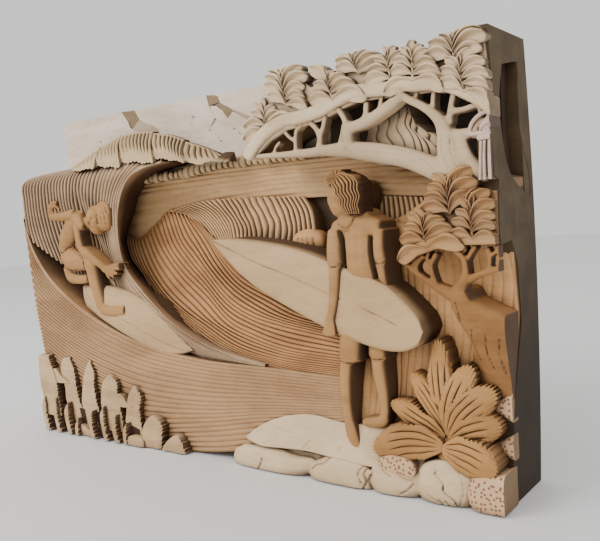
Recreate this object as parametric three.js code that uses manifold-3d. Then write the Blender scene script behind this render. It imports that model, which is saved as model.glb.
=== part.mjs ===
// A wall panel carved from one thick slab of wood: a rider inside a curling wave, a second
// figure with a board on the shore, and trees, rocks and coral around them.
// Millimetres. X runs to the right, Z up, and the carving faces -Y; the flat back is at Y = 0.
// A place on the relief is [x, z, h], where h is its height in front of the back.
import * as THREE from 'three';
import { mergeVertices } from 'three/addons/utils/BufferGeometryUtils.js';
import Module from 'manifold-3d';

// The slab
const width = 800;
const height = 512;
const depth = 127;
const sideBow = 5;
const skyDepth = 28;

// Number of grooves across each ribbed surface, coarser than on the real carving
const waveRibs = 12;
const swellRibs = 12;
const shoreRibs = 10;
const curlRibs = 10;
const crestRibs = 10;
const ribCut = 5;

// Heights of the main layers above the back
const rooted = 12;
const hollowFloor = 26;
const farRowFront = 50;
const channelFloor = 66;
const waveCore = 72;
const leafBack = 86;
const stemBack = 90;
const latticeBack = 98;
const leafShelf = 105;
const latticeFront = 116;
const boardFront = 119;

// How far the curl is undercut, how far a cut runs past the face it opens, the volume in cubic
// millimetres below which a cut-off chip falls away, and the shortest edge
const curlUndercut = 50;
const overrun = 4;
const looseChip = 1000;
const hair = 0.05;

const wasm = await Module();
wasm.setup();

const left = -width / 2;
const right = width / 2;
const top = height / 2;
const bottom = -height / 2;

function place([x, z, h]) {
  return new THREE.Vector3(x, -h, z);
}

function closedSolid(geometry) {
  geometry.deleteAttribute('normal');
  geometry.deleteAttribute('uv');
  const merged = mergeVertices(geometry, 1e-3);
  return new wasm.Manifold(
    new wasm.Mesh({
      numProp: 3,
      vertProperties: new Float32Array(merged.attributes.position.array),
      triVerts: new Uint32Array(merged.index.array),
    }),
  );
}

// A closed surface through the points, with its triangles turned to face outwards.
function shell(points, index) {
  const sixfoldVolume = index.reduce((sum, corner, i) => {
    if (i % 3 !== 0) return sum;
    const [a, b, c] = [points[corner], points[index[i + 1]], points[index[i + 2]]];
    return sum + a.dot(new THREE.Vector3().crossVectors(b, c));
  }, 0);
  const geometry = new THREE.BufferGeometry().setFromPoints(points);
  geometry.setIndex(sixfoldVolume < 0 ? index.reverse() : index);
  return closedSolid(geometry);
}

// A flat piece cut along an outline in the panel's plane, from one height to another.
function prism(outline, from, to, holes = []) {
  const points = outline.map(([x, z]) => new THREE.Vector2(x, z));
  if (THREE.ShapeUtils.isClockWise(points)) points.reverse();
  const shape = new THREE.Shape(points);
  shape.holes = holes;
  const geometry = new THREE.ExtrudeGeometry(shape, { depth: to - from, bevelEnabled: false });
  geometry.translate(0, 0, from);
  geometry.rotateX(Math.PI / 2);
  return closedSolid(geometry);
}

// A round or oval opening; its points run clockwise, as a hole's do.
function roundHole([x, z, radiusX, radiusZ, turn = 0]) {
  const sides = 6;
  const points = [];
  for (let side = 0; side < sides; side++) {
    const angle = (-2 * Math.PI * side) / sides;
    const spot = new THREE.Vector2(radiusX * Math.cos(angle), radiusZ * Math.sin(angle));
    points.push(spot.rotateAround(new THREE.Vector2(0, 0), turn).add(new THREE.Vector2(x, z)));
  }
  return new THREE.Path(points);
}

// A solid between a front grid of points and a back grid with the same rows and columns.
function gridSolid(front, back) {
  const rows = front.length;
  const columns = front[0].length;
  const points = [...front.flat(), ...back.flat()];
  const index = [];
  const at = (side, row, column) => side * rows * columns + row * columns + column;
  const quad = (a, b, c, d) => index.push(a, b, c, a, c, d);
  for (let row = 0; row < rows - 1; row++) {
    for (let column = 0; column < columns - 1; column++) {
      quad(at(0, row, column), at(0, row, column + 1), at(0, row + 1, column + 1), at(0, row + 1, column));
      quad(at(1, row, column), at(1, row + 1, column), at(1, row + 1, column + 1), at(1, row, column + 1));
    }
  }
  const rim = [];
  for (let column = 0; column < columns - 1; column++) rim.push([0, column]);
  for (let row = 0; row < rows - 1; row++) rim.push([row, columns - 1]);
  for (let column = columns - 1; column > 0; column--) rim.push([rows - 1, column]);
  for (let row = rows - 1; row > 0; row--) rim.push([row, 0]);
  rim.forEach(([row, column], i) => {
    const [nextRow, nextColumn] = rim[(i + 1) % rim.length];
    quad(at(1, row, column), at(1, nextRow, nextColumn), at(0, nextRow, nextColumn), at(0, row, column));
  });
  return shell(points, index);
}

// A surface stretched over guide curves that run along the grooves. The grooves alternate with
// ridges across the guides, and the solid reaches back to the given floor.
function flutedSheet(guides, { ribs, rows, cut = ribCut, floor = rooted }) {
  const curves = guides.map((guide) => new THREE.CatmullRomCurve3(guide.map(place)));
  const front = [];
  const back = [];
  const columns = ribs > 0 ? 2 * ribs : curves.length;
  for (let row = 0; row <= rows; row++) {
    const across = new THREE.CatmullRomCurve3(curves.map((curve) => curve.getPoint(row / rows)));
    const frontRow = [];
    const backRow = [];
    for (let column = 0; column <= columns; column++) {
      const point = across.getPoint(column / columns);
      const groove = ribs > 0 && column % 2 === 1 ? cut : 0;
      frontRow.push(new THREE.Vector3(point.x, point.y + groove, point.z));
      backRow.push(new THREE.Vector3(point.x, -floor, point.z));
    }
    front.push(frontRow);
    back.push(backRow);
  }
  return gridSolid(front, back);
}

// A rounded limb, log or branch along [x, z, h, r] points, with its sides cut straight back.
// ends names the ends that are rounded off; the others stop square inside their neighbours.
function limb(path, floor, { swell = 0.8, columns = 3, blunt = 0.7, ends = 'both' } = {}) {
  const spine = path.map(([x, z]) => new THREE.Vector2(x, z));
  const rings = path.map(([, , h, r], i) => [spine[i], h, r]);
  const endSink = 0.3;
  const endRadius = 0.45;
  const roundedEnd = (end, neighbour, [, , h, r]) => {
    const outward = end.clone().sub(neighbour).normalize();
    return [end.clone().addScaledVector(outward, r * blunt), h - r * endSink, r * endRadius];
  };
  if (ends === 'both' || ends === 'first') rings.unshift(roundedEnd(spine[0], spine[1], path[0]));
  if (ends === 'both' || ends === 'last') rings.push(roundedEnd(spine.at(-1), spine.at(-2), path.at(-1)));
  const front = [];
  const back = [];
  rings.forEach(([centre, h, r], i) => {
    const before = rings[Math.max(i - 1, 0)][0];
    const after = rings[Math.min(i + 1, rings.length - 1)][0];
    const along = after.clone().sub(before).normalize();
    const side = new THREE.Vector2(-along.y, along.x);
    const frontRow = [];
    const backRow = [];
    for (let column = 0; column <= columns; column++) {
      const angle = Math.PI * (column / columns - 0.5);
      const spot = centre.clone().addScaledVector(side, r * Math.sin(angle));
      const rise = h - r * swell * (1 - Math.cos(angle));
      frontRow.push(place([spot.x, spot.y, rise]));
      backRow.push(place([spot.x, spot.y, floor]));
    }
    front.push(frontRow);
    back.push(backRow);
  });
  return gridSolid(front, back);
}

// A boulder, head or bush: a dome on an oval or uneven outline.
function dome([x, z, h], radiusX, radiusZ, { sides = 9, crown = 0.35, floor = rooted, uneven = 0 }) {
  const footRing = [1, 1];
  const shoulderRing = [0.68, 0.3];
  const rings = [footRing, shoulderRing];
  const points = [];
  for (const [reach, sink] of rings) {
    for (let side = 0; side < sides; side++) {
      const angle = (2 * Math.PI * side) / sides;
      const bump = 1 + uneven * Math.sin(3 * angle + x) * Math.cos(2 * angle + z);
      const spotX = x + radiusX * reach * bump * Math.cos(angle);
      const spotZ = z + radiusZ * reach * bump * Math.sin(angle);
      points.push(place([spotX, spotZ, h - crown * Math.min(radiusX, radiusZ) * sink]));
    }
  }
  const crownPoint = points.push(place([x, z, h])) - 1;
  const index = [];
  const outer = rings.length * sides + 1;
  for (let side = 0; side < sides; side++) {
    const rimPoint = points[side];
    points.push(new THREE.Vector3(rimPoint.x, -floor, rimPoint.z));
  }
  const floorPoint = points.push(place([x, z, floor])) - 1;
  for (let side = 0; side < sides; side++) {
    const next = (side + 1) % sides;
    for (let ring = 0; ring < rings.length - 1; ring++) {
      const a = ring * sides + side;
      const b = ring * sides + next;
      index.push(a, b, b + sides, a, b + sides, a + sides);
    }
    const inner = (rings.length - 1) * sides;
    index.push(inner + side, inner + next, crownPoint);
    index.push(outer + side, outer + next, next, outer + side, next, side);
    index.push(floorPoint, outer + next, outer + side);
  }
  return shell(points, index);
}

// A spray of leaves round a root, fluted into lobes with a scalloped edge. Angles are degrees.
function leafFan([x, z, h], reach, from, to, lobes, floor = stemBack) {
  const front = [];
  const back = [];
  const notch = 0.8;
  const fluteDepth = 5;
  const rootStage = [0.08, -5];
  const tipStage = [1, -3];
  for (const [part, lift] of [rootStage, tipStage]) {
    const frontRow = [];
    const backRow = [];
    for (let column = 0; column <= 2 * lobes; column++) {
      const angle = THREE.MathUtils.degToRad(from + ((to - from) * column) / (2 * lobes));
      const valley = column % 2 === 0;
      const r = reach * part * (valley && part === 1 ? notch : 1);
      const sink = valley ? fluteDepth * part : 0;
      const spot = [x + r * Math.cos(angle), z + r * Math.sin(angle)];
      frontRow.push(place([...spot, h + lift - sink]));
      backRow.push(place([...spot, floor]));
    }
    front.push(frontRow);
    back.push(backRow);
  }
  return gridSolid(front, back);
}

// A long shrub leaf from the root to its tip, with grooves along it and a scalloped edge.
function shrubLeaf(root, tip, halfWidth, bend, floor = rooted) {
  const start = new THREE.Vector2(root[0], root[1]);
  const end = new THREE.Vector2(tip[0], tip[1]);
  const along = end.clone().sub(start);
  const side = new THREE.Vector2(-along.y, along.x).normalize();
  const shares = [0.14, 1, 0.5];
  const arch = 8;
  const veinCut = 4;
  const edgeDrop = 7;
  const front = [];
  const back = [];
  const columns = 4;
  shares.forEach((share, i) => {
    const t = i / (shares.length - 1);
    const sway = bend * Math.sin(Math.PI * t);
    const centre = start.clone().addScaledVector(along, t).addScaledVector(side, sway);
    const h = THREE.MathUtils.lerp(root[2], tip[2], t) + arch * Math.sin(Math.PI * t);
    const frontRow = [];
    const backRow = [];
    for (let column = 0; column <= columns; column++) {
      const across = (2 * column) / columns - 1;
      const spot = centre.clone().addScaledVector(side, across * share * halfWidth);
      const groove = column % 2 === 1 ? veinCut * share : 0;
      frontRow.push(place([spot.x, spot.y, h - groove - edgeDrop * across * across]));
      backRow.push(place([spot.x, spot.y, floor]));
    }
    front.push(frontRow);
    back.push(backRow);
  });
  return gridSolid(front, back);
}

function joined(solids) {
  return solids.reduce((whole, solid) => whole.add(solid));
}

// The slab's own outline: straight edges, with the right side slightly bowed.
function slabOutline() {
  const outline = [[left, top], [left, bottom]];
  const steps = 8;
  for (let step = 0; step <= steps; step++) {
    const z = bottom + (height * step) / steps;
    outline.push([right - sideBow * (z / top) ** 2, z]);
  }
  return outline;
}

// Two peaks in low relief at the top of the sky, each with its shaded right flank.
function peaks() {
  const peak = (x, size) => {
    const foot = top - 62 * size;
    const tip = top - 1;
    const lit = [[x - 34 * size, foot], [x + 14 * size, foot], [x + 2 * size, tip], [x - 5, tip]];
    const ridge = [x + 20 * size, tip - 21];
    const shaded = [[x + 4 * size, foot + 12], [x + 62 * size, foot - 6], ridge, [x, tip]];
    return [prism(lit, rooted, skyDepth + 6), prism(shaded, rooted, skyDepth + 3)];
  };
  return joined([...peak(-252, 0.9), ...peak(-58, 0.75)]);
}

// The open sea behind the wave, with low ripples.
function seaBand() {
  return flutedSheet(
    [
      [[-262, 152, 37], [-100, 154, 37], [100, 154, 38], [320, 152, 44]],
      [[-264, 125, 33], [-100, 127, 35], [100, 127, 38], [320, 122, 48]],
      [[-264, 70, 33], [-100, 90, 36], [100, 96, 40], [320, 84, 52]],
    ],
    { ribs: 4, rows: 3, cut: 2 },
  );
}

// The row of foam and far rocks along the top of the sea.
function farRow() {
  const blocks = [];
  const count = 8;
  const spacing = 47;
  for (let i = 0; i < count; i++) {
    const x = -178 + i * spacing;
    const foot = i % 2 === 0 ? 142 : 145;
    blocks.push(prism([[x, 156], [x + 40, 156], [x + 34, foot], [x + 5, foot - 1]], rooted, farRowFront));
  }
  return joined(blocks);
}

// The S-shaped ribs on the shoulder of the wave, in front of the sea.
function curlingRibs() {
  return flutedSheet(
    [
      [[-150, 92, 44], [-108, 84, 48], [-74, 58, 50], [-52, 30, 52]],
      [[-112, 98, 46], [-70, 84, 50], [-42, 58, 52], [-30, 30, 52]],
      [[-60, 104, 46], [-34, 86, 50], [-16, 64, 53], [-12, 34, 54]],
      [[0, 103, 46], [14, 82, 50], [26, 60, 54], [24, 34, 54]],
      [[64, 101, 46], [78, 80, 50], [86, 60, 54], [84, 34, 54]],
      [[110, 98, 46], [124, 80, 50], [130, 60, 54], [130, 30, 54]],
    ],
    { ribs: curlRibs, rows: 2, cut: 6 },
  );
}

function ribsBehindFigure() {
  return flutedSheet(
    [
      [[196, 92, 48], [198, 70, 53], [200, 40, 58]],
      [[240, 90, 50], [244, 68, 55], [246, 40, 60]],
      [[286, 86, 52], [292, 66, 57], [294, 40, 62]],
    ],
    { ribs: 5, rows: 2 },
  );
}

// The shaded swell that rises inside the curl and runs out to the shore.
function swell() {
  return flutedSheet(
    [
      [
        [-268, 48, 34], [-222, 4, 50], [-168, -42, 68], [-92, -86, 84],
        [20, -114, 94], [120, -122, 99], [198, -126, 100],
      ],
      [
        [-212, 53, 38], [-180, 16, 53], [-128, -28, 71], [-60, -68, 86],
        [24, -100, 95], [120, -113, 99], [198, -115, 100],
      ],
      [
        [-166, 79, 43], [-144, 40, 54], [-100, -8, 69], [-38, -49, 82],
        [38, -80, 92], [126, -98, 97], [198, -103, 98],
      ],
      [
        [-134, 87, 44], [-108, 50, 54], [-68, 6, 66], [-14, -34, 77],
        [56, -64, 87], [134, -83, 94], [198, -91, 96],
      ],
      [
        [-92, 71, 46], [-68, 44, 54], [-34, 4, 64], [10, -26, 72],
        [70, -50, 82], [138, -70, 90], [198, -79, 93],
      ],
      [
        [-58, 42, 50], [-38, 16, 56], [-8, -14, 64], [30, -34, 70],
        [80, -48, 78], [140, -60, 86], [198, -66, 90],
      ],
    ],
    { ribs: swellRibs, rows: 4 },
  );
}

// Rim of the curl on the panel's front, from its top round the left and down to the right.
const rim = [
  [-92, 162, 106],
  [-138, 154, 108],
  [-172, 132, 109],
  [-190, 94, 109],
  [-196, 52, 109],
  [-182, 12, 110],
  [-138, -32, 112],
  [-78, -68, 114],
  [-14, -97, 112],
  [72, -116, 106],
];

// How far the wall inside the curl is undercut behind its rim, along the rim.
function undercut(along) {
  const reach = curlUndercut * Math.sin(Math.PI * Math.min(1, 0.18 + along * 0.95)) ** 0.8;
  return [-reach, -reach * 0.12];
}

// The hollow of the curl, cut through the wave down to the sea.
function curlHollow() {
  const curve = new THREE.CatmullRomCurve3(rim.map(place));
  const steps = 18;
  const front = [];
  const back = [];
  const closing = [[150, -116], [170, 60], [160, 160]];
  const mouthFlare = 0.13;
  for (let step = 0; step <= steps; step++) {
    const point = curve.getPoint(step / steps);
    const [slideX, slideZ] = undercut(step / steps);
    front.push([point.x - slideX * mouthFlare, point.z - slideZ * mouthFlare]);
    back.push([point.x + slideX, point.z + slideZ]);
  }
  closing.forEach((spot) => {
    front.push(spot);
    back.push(spot);
  });
  const shape = new THREE.Shape(back.map(([x, z]) => new THREE.Vector2(x, z)));
  const faces = THREE.ShapeUtils.triangulateShape(shape.getPoints(), []);
  const count = back.length;
  const points = [
    ...front.map(([x, z]) => place([x, z, depth + overrun])),
    ...back.map(([x, z]) => place([x, z, hollowFloor])),
  ];
  const index = [];
  for (const [a, b, c] of faces) {
    index.push(a, b, c, a + count, c + count, b + count);
  }
  for (let i = 0; i < count; i++) {
    const next = (i + 1) % count;
    index.push(i, next + count, next, i, i + count, next + count);
  }
  return shell(points, index);
}

// The wave's ribbed face, from its top shelf down and round the rim of the curl, over a plain
// core that also closes the channel at its foot.
function waveFace() {
  const core = prism(
    [[-406, 90], [-406, -10], [-330, -66], [-200, -90], [-120, -60], [-170, 0], [-210, 60], [-300, 120]],
    rooted,
    waveCore,
  );
  const face = flutedSheet(
    [
      [[-405, 178, 26], [-405, 152, 124], [-405, 122, 126.5], [-405, 96, 126.5], [-405, 72, 126]],
      [[-372, 180, 26], [-370, 156, 116], [-370, 122, 122], [-362, 74, 122], [-346, 36, 120]],
      [[-340, 182, 26], [-338, 158, 108], [-336, 120, 112], [-322, 62, 112], [-296, 6, 112]],
      [[-300, 184, 26], [-298, 160, 100], [-294, 118, 102], [-278, 52, 102], [-250, -14, 104]],
      [[-262, 186, 26], [-260, 161, 96], [-260, 116, 98], [-248, 46, 98], [-216, -26, 104]],
      [
        [-220, 187, 26], [-218, 162, 96], [-230, 114, 99], [-232, 62, 99], [-218, 8, 101],
        [-180, -38, 106], [-116, -80, 111],
      ],
      [
        [-172, 187, 26], [-170, 163, 100], [-204, 118, 104], [-211, 50, 104], [-195, 2, 106],
        [-147, -45, 110], [-84, -77, 113],
      ],
      rim.slice(0, 8),
    ],
    { ribs: waveRibs, rows: 6, cut: 4 },
  );
  return core.add(face);
}

// Foam on the crest: a fluted, ragged leaf of water that leans out over the wave.
function crestFoam() {
  return flutedSheet(
    [
      [[-392, 179, 30], [-390, 177, 34], [-386, 173, 38]],
      [[-332, 192, 50], [-318, 182, 62], [-306, 168, 80]],
      [[-262, 206, 66], [-246, 190, 84], [-236, 164, 104]],
      [[-204, 211, 74], [-184, 192, 96], [-170, 160, 113]],
      [[-140, 208, 78], [-118, 188, 98], [-104, 158, 115]],
      [[-76, 194, 78], [-54, 176, 96], [-44, 154, 113]],
      [[-24, 170, 70], [-6, 162, 84], [2, 150, 102]],
      [[6, 155, 60], [14, 152, 70], [20, 148, 84]],
    ],
    { ribs: crestRibs, rows: 3, cut: 5 },
  );
}

// Torn notches along the foam's lower edge.
function foamNotches() {
  const notchFloor = 84;
  const notch = (x, size) => {
    const outline = [[x - 9 * size, 140], [x + 12 * size, 140], [x + 3 * size, 166], [x - 6 * size, 180]];
    return prism(outline, notchFloor, depth + overrun);
  };
  return joined([notch(-246, 0.9), notch(-176, 1), notch(-104, 0.8), notch(-52, 0.7)]);
}

// Open gap under the foam's lip.
function lipShadow() {
  return prism([[-330, 164], [-180, 168], [10, 160], [10, 146], [-110, 150], [-330, 156]], 60, 100);
}

// The broad water in front of the wave, down to the coral and the shore.
function frontWater() {
  return flutedSheet(
    [
      [
        [-406, 27, 126], [-340, -20, 121], [-264, -60, 118], [-160, -104, 115],
        [-40, -116, 111], [70, -122, 105], [200, -128, 101],
      ],
      [
        [-406, -38, 119], [-320, -84, 117], [-220, -122, 115], [-110, -142, 112],
        [0, -146, 109], [100, -146, 105], [200, -146, 102],
      ],
      [
        [-406, -108, 111], [-310, -150, 111], [-210, -176, 110], [-110, -184, 108],
        [0, -178, 107], [100, -168, 106], [200, -162, 104],
      ],
      [
        [-406, -178, 104], [-310, -214, 104], [-210, -228, 105], [-110, -226, 106],
        [-20, -210, 106], [70, -194, 106], [200, -180, 106],
      ],
      [
        [-406, -262, 98], [-310, -262, 98], [-210, -262, 100], [-110, -260, 104],
        [-20, -249, 106], [70, -232, 106], [200, -210, 106],
      ],
    ],
    { ribs: shoreRibs, rows: 4, cut: 4 },
  );
}

// The dark channel behind the ledge at the wave's left foot.
function ledgeChannel() {
  return prism(
    [
      [-410, 78], [-372, 44], [-340, 14], [-312, -8], [-284, -26], [-264, -54],
      [-300, -40], [-340, -12], [-378, 24], [-410, 58],
    ],
    channelFloor,
    depth + overrun,
  );
}

// Outline of a surfboard from nose to tail, with its widest part at a share of its length.
function surfboard(nose, tail, halfWidth, widest, from, to) {
  const noseFullness = 0.85;
  const tailRoundness = 2.4;
  const start = new THREE.Vector2(...nose);
  const along = new THREE.Vector2(...tail).sub(start);
  const side = new THREE.Vector2(-along.y, along.x).normalize();
  const outline = [];
  const steps = 8;
  const spot = (t, sign) => {
    const fore = Math.sin((Math.PI / 2) * Math.min(1, t / widest)) ** noseFullness;
    const aft = Math.sqrt(Math.max(0, 1 - (Math.max(0, t - widest) / (1 - widest)) ** tailRoundness));
    const reach = sign * halfWidth * fore * aft;
    const point = start.clone().addScaledVector(along, t).addScaledVector(side, reach);
    return [point.x, point.y];
  };
  const share = (step) => 1 - (1 - step / steps) ** 1.5;
  for (let step = 0; step <= steps; step++) outline.push(spot(share(step), 1));
  for (let step = steps - 1; step > 0; step--) outline.push(spot(share(step), -1));
  return prism(outline, from, to);
}

function rider() {
  const board = flutedSheet(
    [
      [
        [-286, -8, 100], [-236, -22, 112], [-190, -28, 114],
        [-124, -44, 115], [-76, -78, 113], [-48, -103, 108],
      ],
      [
        [-272, -32, 106], [-220, -52, 116], [-160, -70, 119],
        [-110, -86, 118], [-72, -99, 114], [-48, -104, 108],
      ],
      [
        [-262, -58, 108], [-214, -84, 115], [-160, -104, 117],
        [-112, -113, 116], [-72, -113, 112], [-48, -106, 107],
      ],
    ],
    { ribs: 0, rows: 8 },
  );
  const inner = { ends: 'none' };
  return joined([
    board,
    limb([[-300, 84, 118, 20], [-292, 56, 121, 25], [-284, 28, 121, 23]], rooted, { columns: 4 }),
    dome([-232, 88, 127], 22, 26, { sides: 8, crown: 0.7 }),
    dome([-215, 93, 122], 27, 23, { sides: 8, crown: 0.45 }),
    limb([[-268, 84, 116, 10], [-240, 62, 114, 12]], rooted, inner),
    limb([[-298, 96, 121, 11], [-326, 95, 118, 9], [-331, 110, 120, 8]], rooted, { ends: 'last' }),
    limb([[-330, 108, 121, 8], [-316, 116, 119, 6]], rooted, { ends: 'last' }),
    limb([[-272, 78, 126, 10], [-257, 46, 125, 9], [-206, 16, 122, 7]], rooted, { ends: 'first' }),
    limb([[-214, 19, 121, 7], [-194, 6, 118, 9]], rooted, { ends: 'last' }),
    limb([[-302, 26, 125, 17], [-272, 20, 126, 19], [-244, 12, 124, 14]], rooted, { columns: 4 }),
    limb([[-244, 12, 126, 14], [-230, -20, 125, 13], [-220, -52, 122, 10]], rooted, inner),
    limb([[-220, -53, 122, 9], [-172, -49, 121, 9]], rooted, { ends: 'last' }),
    limb([[-306, 4, 120, 9], [-284, -6, 121, 9], [-254, -4, 119, 7]], rooted, { ends: 'last' }),
  ]);
}

// The standing figure seen from behind, with its board held under the arm.
function standingFigure() {
  const lock = (x) => limb([[x, 118, 124, 9], [x + 5, 76, 123, 8]], channelFloor, { columns: 2 });
  const inner = { ends: 'none' };
  const trunk = { columns: 4, ends: 'first', blunt: 0.2 };
  return joined([
    surfboard([10, 49], [316, -58], 47, 0.62, rooted, boardFront),
    dome([207, 96, 122], 18, 25, { sides: 8, crown: 0.6 }),
    dome([222, 104, 125], 22, 20, { sides: 8, crown: 0.5 }),
    lock(221),
    lock(235),
    limb([[216, 78, 116, 11], [222, 60, 116, 15]], rooted, inner),
    limb([[224, 60, 118, 29], [228, 34, 121, 27], [226, 4, 120, 24], [224, -16, 116, 22]], rooted, trunk),
    limb([[202, 50, 124, 13], [199, 10, 125, 10], [191, -46, 124, 8], [188, -62, 124, 9]], rooted),
    limb([[250, 50, 116, 13], [264, 22, 114, 11], [268, -12, 110, 9]], rooted, { ends: 'first' }),
    limb([[216, -70, 118, 18], [218, -104, 119, 17]], rooted, inner),
    limb([[214, -102, 117, 12], [208, -140, 116, 12], [209, -188, 115, 10]], rooted, { ends: 'last' }),
    limb([[246, -70, 106, 14], [252, -98, 106, 13]], rooted, inner),
    limb([[252, -96, 106, 9], [257, -150, 105, 8], [252, -174, 108, 11]], rooted, { ends: 'last' }),
  ]);
}

// Round stones and sand along the shore, under the figure.
function shore() {
  const sand = flutedSheet(
    [
      [
        [60, -190, 108], [110, -176, 109], [160, -172, 109],
        [210, -178, 107], [262, -176, 101], [300, -170, 92],
      ],
      [
        [16, -222, 110], [100, -206, 114], [160, -200, 114],
        [210, -204, 113], [262, -206, 110], [300, -200, 104],
      ],
      [
        [20, -246, 112], [100, -240, 118], [160, -238, 119],
        [210, -238, 118], [262, -240, 116], [300, -240, 112],
      ],
    ],
    { ribs: 0, rows: 6 },
  );
  return joined([
    sand,
    dome([50, -238, 119], 36, 21, { sides: 7, uneven: 0.12, crown: 0.5 }),
    dome([112, -240, 122], 38, 19, { sides: 7, uneven: 0.1, crown: 0.5 }),
    dome([186, -239, 125], 44, 20, { sides: 7, uneven: 0.08, crown: 0.5 }),
    dome([262, -234, 126], 33, 27, { sides: 7, uneven: 0.12, crown: 0.5 }),
    dome([326, -230, 127], 34, 29, { sides: 9, uneven: 0.1, crown: 0.5 }),
    dome([379, -238, 125], 25, 25, { sides: 7, crown: 0.25 }),
  ]);
}

// Coral at the lower left: two tiers of upright fluted columns.
function coral() {
  const columns = [];
  const tall = [
    [-386, -130, -206, 20], [-318, -128, -214, 22], [-268, -134, -226, 20], [-212, -150, -234, 25],
    [-160, -168, -240, 22], [-108, -204, -246, 26],
  ];
  tall.forEach(([x, head, foot, half], i) => {
    const h = 124 - (i % 3) * 4;
    const path = [[x - 2, head - half * 0.5, h - 3, half * 0.9], [x + 2, foot - half, h, half]];
    columns.push(limb(path, rooted, { swell: 0.45, blunt: 0.5, ends: 'first' }));
  });
  const count = 6;
  const spacing = 50;
  const fall = 5.6;
  for (let i = 0; i < count; i++) {
    const x = -378 + i * spacing;
    const path = [[x, -208 - i * fall, 124, 15], [x + 5, -261, 126, 18]];
    columns.push(limb(path, rooted, { swell: 0.5, blunt: 0.3, ends: 'first' }));
  }
  return joined(columns);
}

// The upper trees: a thick shelf of leaves over an open hollow, closed in front by branches.
function canopy() {
  const shelf = prism(
    [
      [84, 148], [113, 166], [153, 178], [194, 184], [219, 196], [244, 198], [295, 199], [341, 197],
      [362, 188], [385, 174], [408, 158], [408, 240], [392, 250], [340, 248], [300, 240], [250, 244],
      [200, 234], [170, 230], [150, 244], [120, 240], [100, 210], [82, 196],
    ],
    rooted,
    leafShelf,
  );
  const fans = [
    leafFan([134, 218, 117], 40, -20, 190, 5),
    leafFan([98, 176, 114], 37, -10, 175, 5, rooted),
    leafFan([144, 196, 116], 38, -5, 120, 3),
    leafFan([180, 214, 116], 30, 20, 165, 4),
    leafFan([206, 202, 119], 36, -5, 120, 3),
    leafFan([243, 226, 121], 32, 0, 185, 5),
    leafFan([284, 222, 119], 30, 10, 170, 4),
    leafFan([314, 204, 123], 44, -8, 165, 5),
    leafFan([362, 222, 121], 38, 10, 175, 5),
    leafFan([374, 184, 123], 42, 5, 160, 4),
  ];
  return joined([shelf, ...fans]);
}

// The open space behind the upper branches, which runs out through the right side.
function underCanopy() {
  return prism(
    [
      [92, 151], [130, 176], [176, 196], [224, 216], [290, 227], [420, 226], [420, 98],
      [382, 104], [352, 120], [330, 152], [300, 152], [220, 152],
    ],
    hollowFloor,
    leafBack,
  );
}

// The branches that close the front of the hollow, pierced by round openings.
function upperBranches() {
  const outline = [
    [82, 148], [113, 169], [153, 183], [194, 189], [219, 201], [244, 203], [295, 204], [341, 202], [362, 193],
    [385, 179], [409, 162], [409, 93], [366, 92], [330, 100], [301, 118], [265, 129], [231, 139], [205, 147],
  ];
  const openings = [
    [112, 158, 8, 4], [131, 161, 10, 8, 0.3], [159, 166, 12, 13], [200, 171, 16, 12, 0.1],
    [237, 185, 10, 11, -0.3], [262, 189, 8, 6], [304, 194, 6, 4], [320, 188, 8, 8], [343, 183, 11, 11],
    [366, 164, 14, 9, 0.2], [378, 135, 8, 9],
  ];
  const wideRim = [
    [240, 172], [252, 178], [276, 181], [296, 190], [314, 180], [330, 160], [334, 150], [318, 150],
    [240, 152], [234, 160],
  ];
  const wide = new THREE.Path(wideRim.map(([x, z]) => new THREE.Vector2(x, z)));
  return prism(outline, latticeBack, latticeFront, [...openings.map(roundHole), wide]);
}

// A bluff with wavy cuts inside the hollow, and the stem that carries the branches.
function bluff() {
  return joined([
    flutedSheet(
      [
        [[240, 156, 84], [246, 140, 88], [262, 122, 80]],
        [[262, 186, 82], [276, 156, 92], [290, 120, 86]],
        [[288, 194, 82], [306, 156, 92], [322, 112, 90]],
        [[302, 190, 80], [326, 150, 88], [350, 106, 92]],
      ],
      { ribs: 5, rows: 3, cut: 3 },
    ),
    limb([[222, 188, 117, 7], [224, 166, 119, 10], [226, 142, 117, 16]], stemBack, { ends: 'none' }),
    limb([[352, 178, 118, 8], [346, 150, 121, 14], [350, 112, 119, 22]], stemBack, { ends: 'none' }),
  ]);
}

// A small fluted post with a carved knob at the right edge.
function edgePost() {
  return joined([
    dome([392, 152, 124], 9, 9, { sides: 7, crown: 0.6, floor: stemBack }),
    prism([[384, 103], [411, 103], [411, 140], [385, 140]], stemBack, 121),
  ]);
}

// The lower tree, its leaves, branches and leaning trunk.
function lowerTree() {
  const shelf = prism(
    [[288, 17], [317, 27], [343, 30], [407, 31], [407, 101], [360, 112], [332, 92], [330, 62], [300, 56]],
    rooted,
    leafShelf,
  );
  const outline = [
    [292, 20], [317, 31], [343, 34], [410, 35], [410, -3], [378, -6], [364, -14], [360, -28], [342, -28],
    [336, -14], [318, -4],
  ];
  const openings = [
    [315, 12, 7, 7], [334, 10, 6, 11, -0.4], [353, 14, 8, 12, -0.25], [376, 13, 10, 11], [393, 18, 4, 6],
  ];
  return joined([
    shelf,
    leafFan([348, 76, 112], 38, 10, 175, 5, rooted),
    leafFan([370, 38, 122], 42, 5, 130, 4, rooted),
    leafFan([316, 26, 121], 40, 8, 150, 4, rooted),
    prism(outline, latticeBack, latticeFront, openings.map(roundHole)),
    flutedSheet(
      [
        [[344, -8, 116], [346, -34, 114], [352, -66, 104], [340, -112, 92]],
        [[354, -8, 120], [362, -36, 120], [376, -66, 110], [376, -112, 96]],
        [[364, -8, 116], [384, -28, 112], [408, -56, 96], [408, -120, 80]],
      ],
      { ribs: 4, rows: 3, cut: 3 },
    ),
  ]);
}

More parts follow.
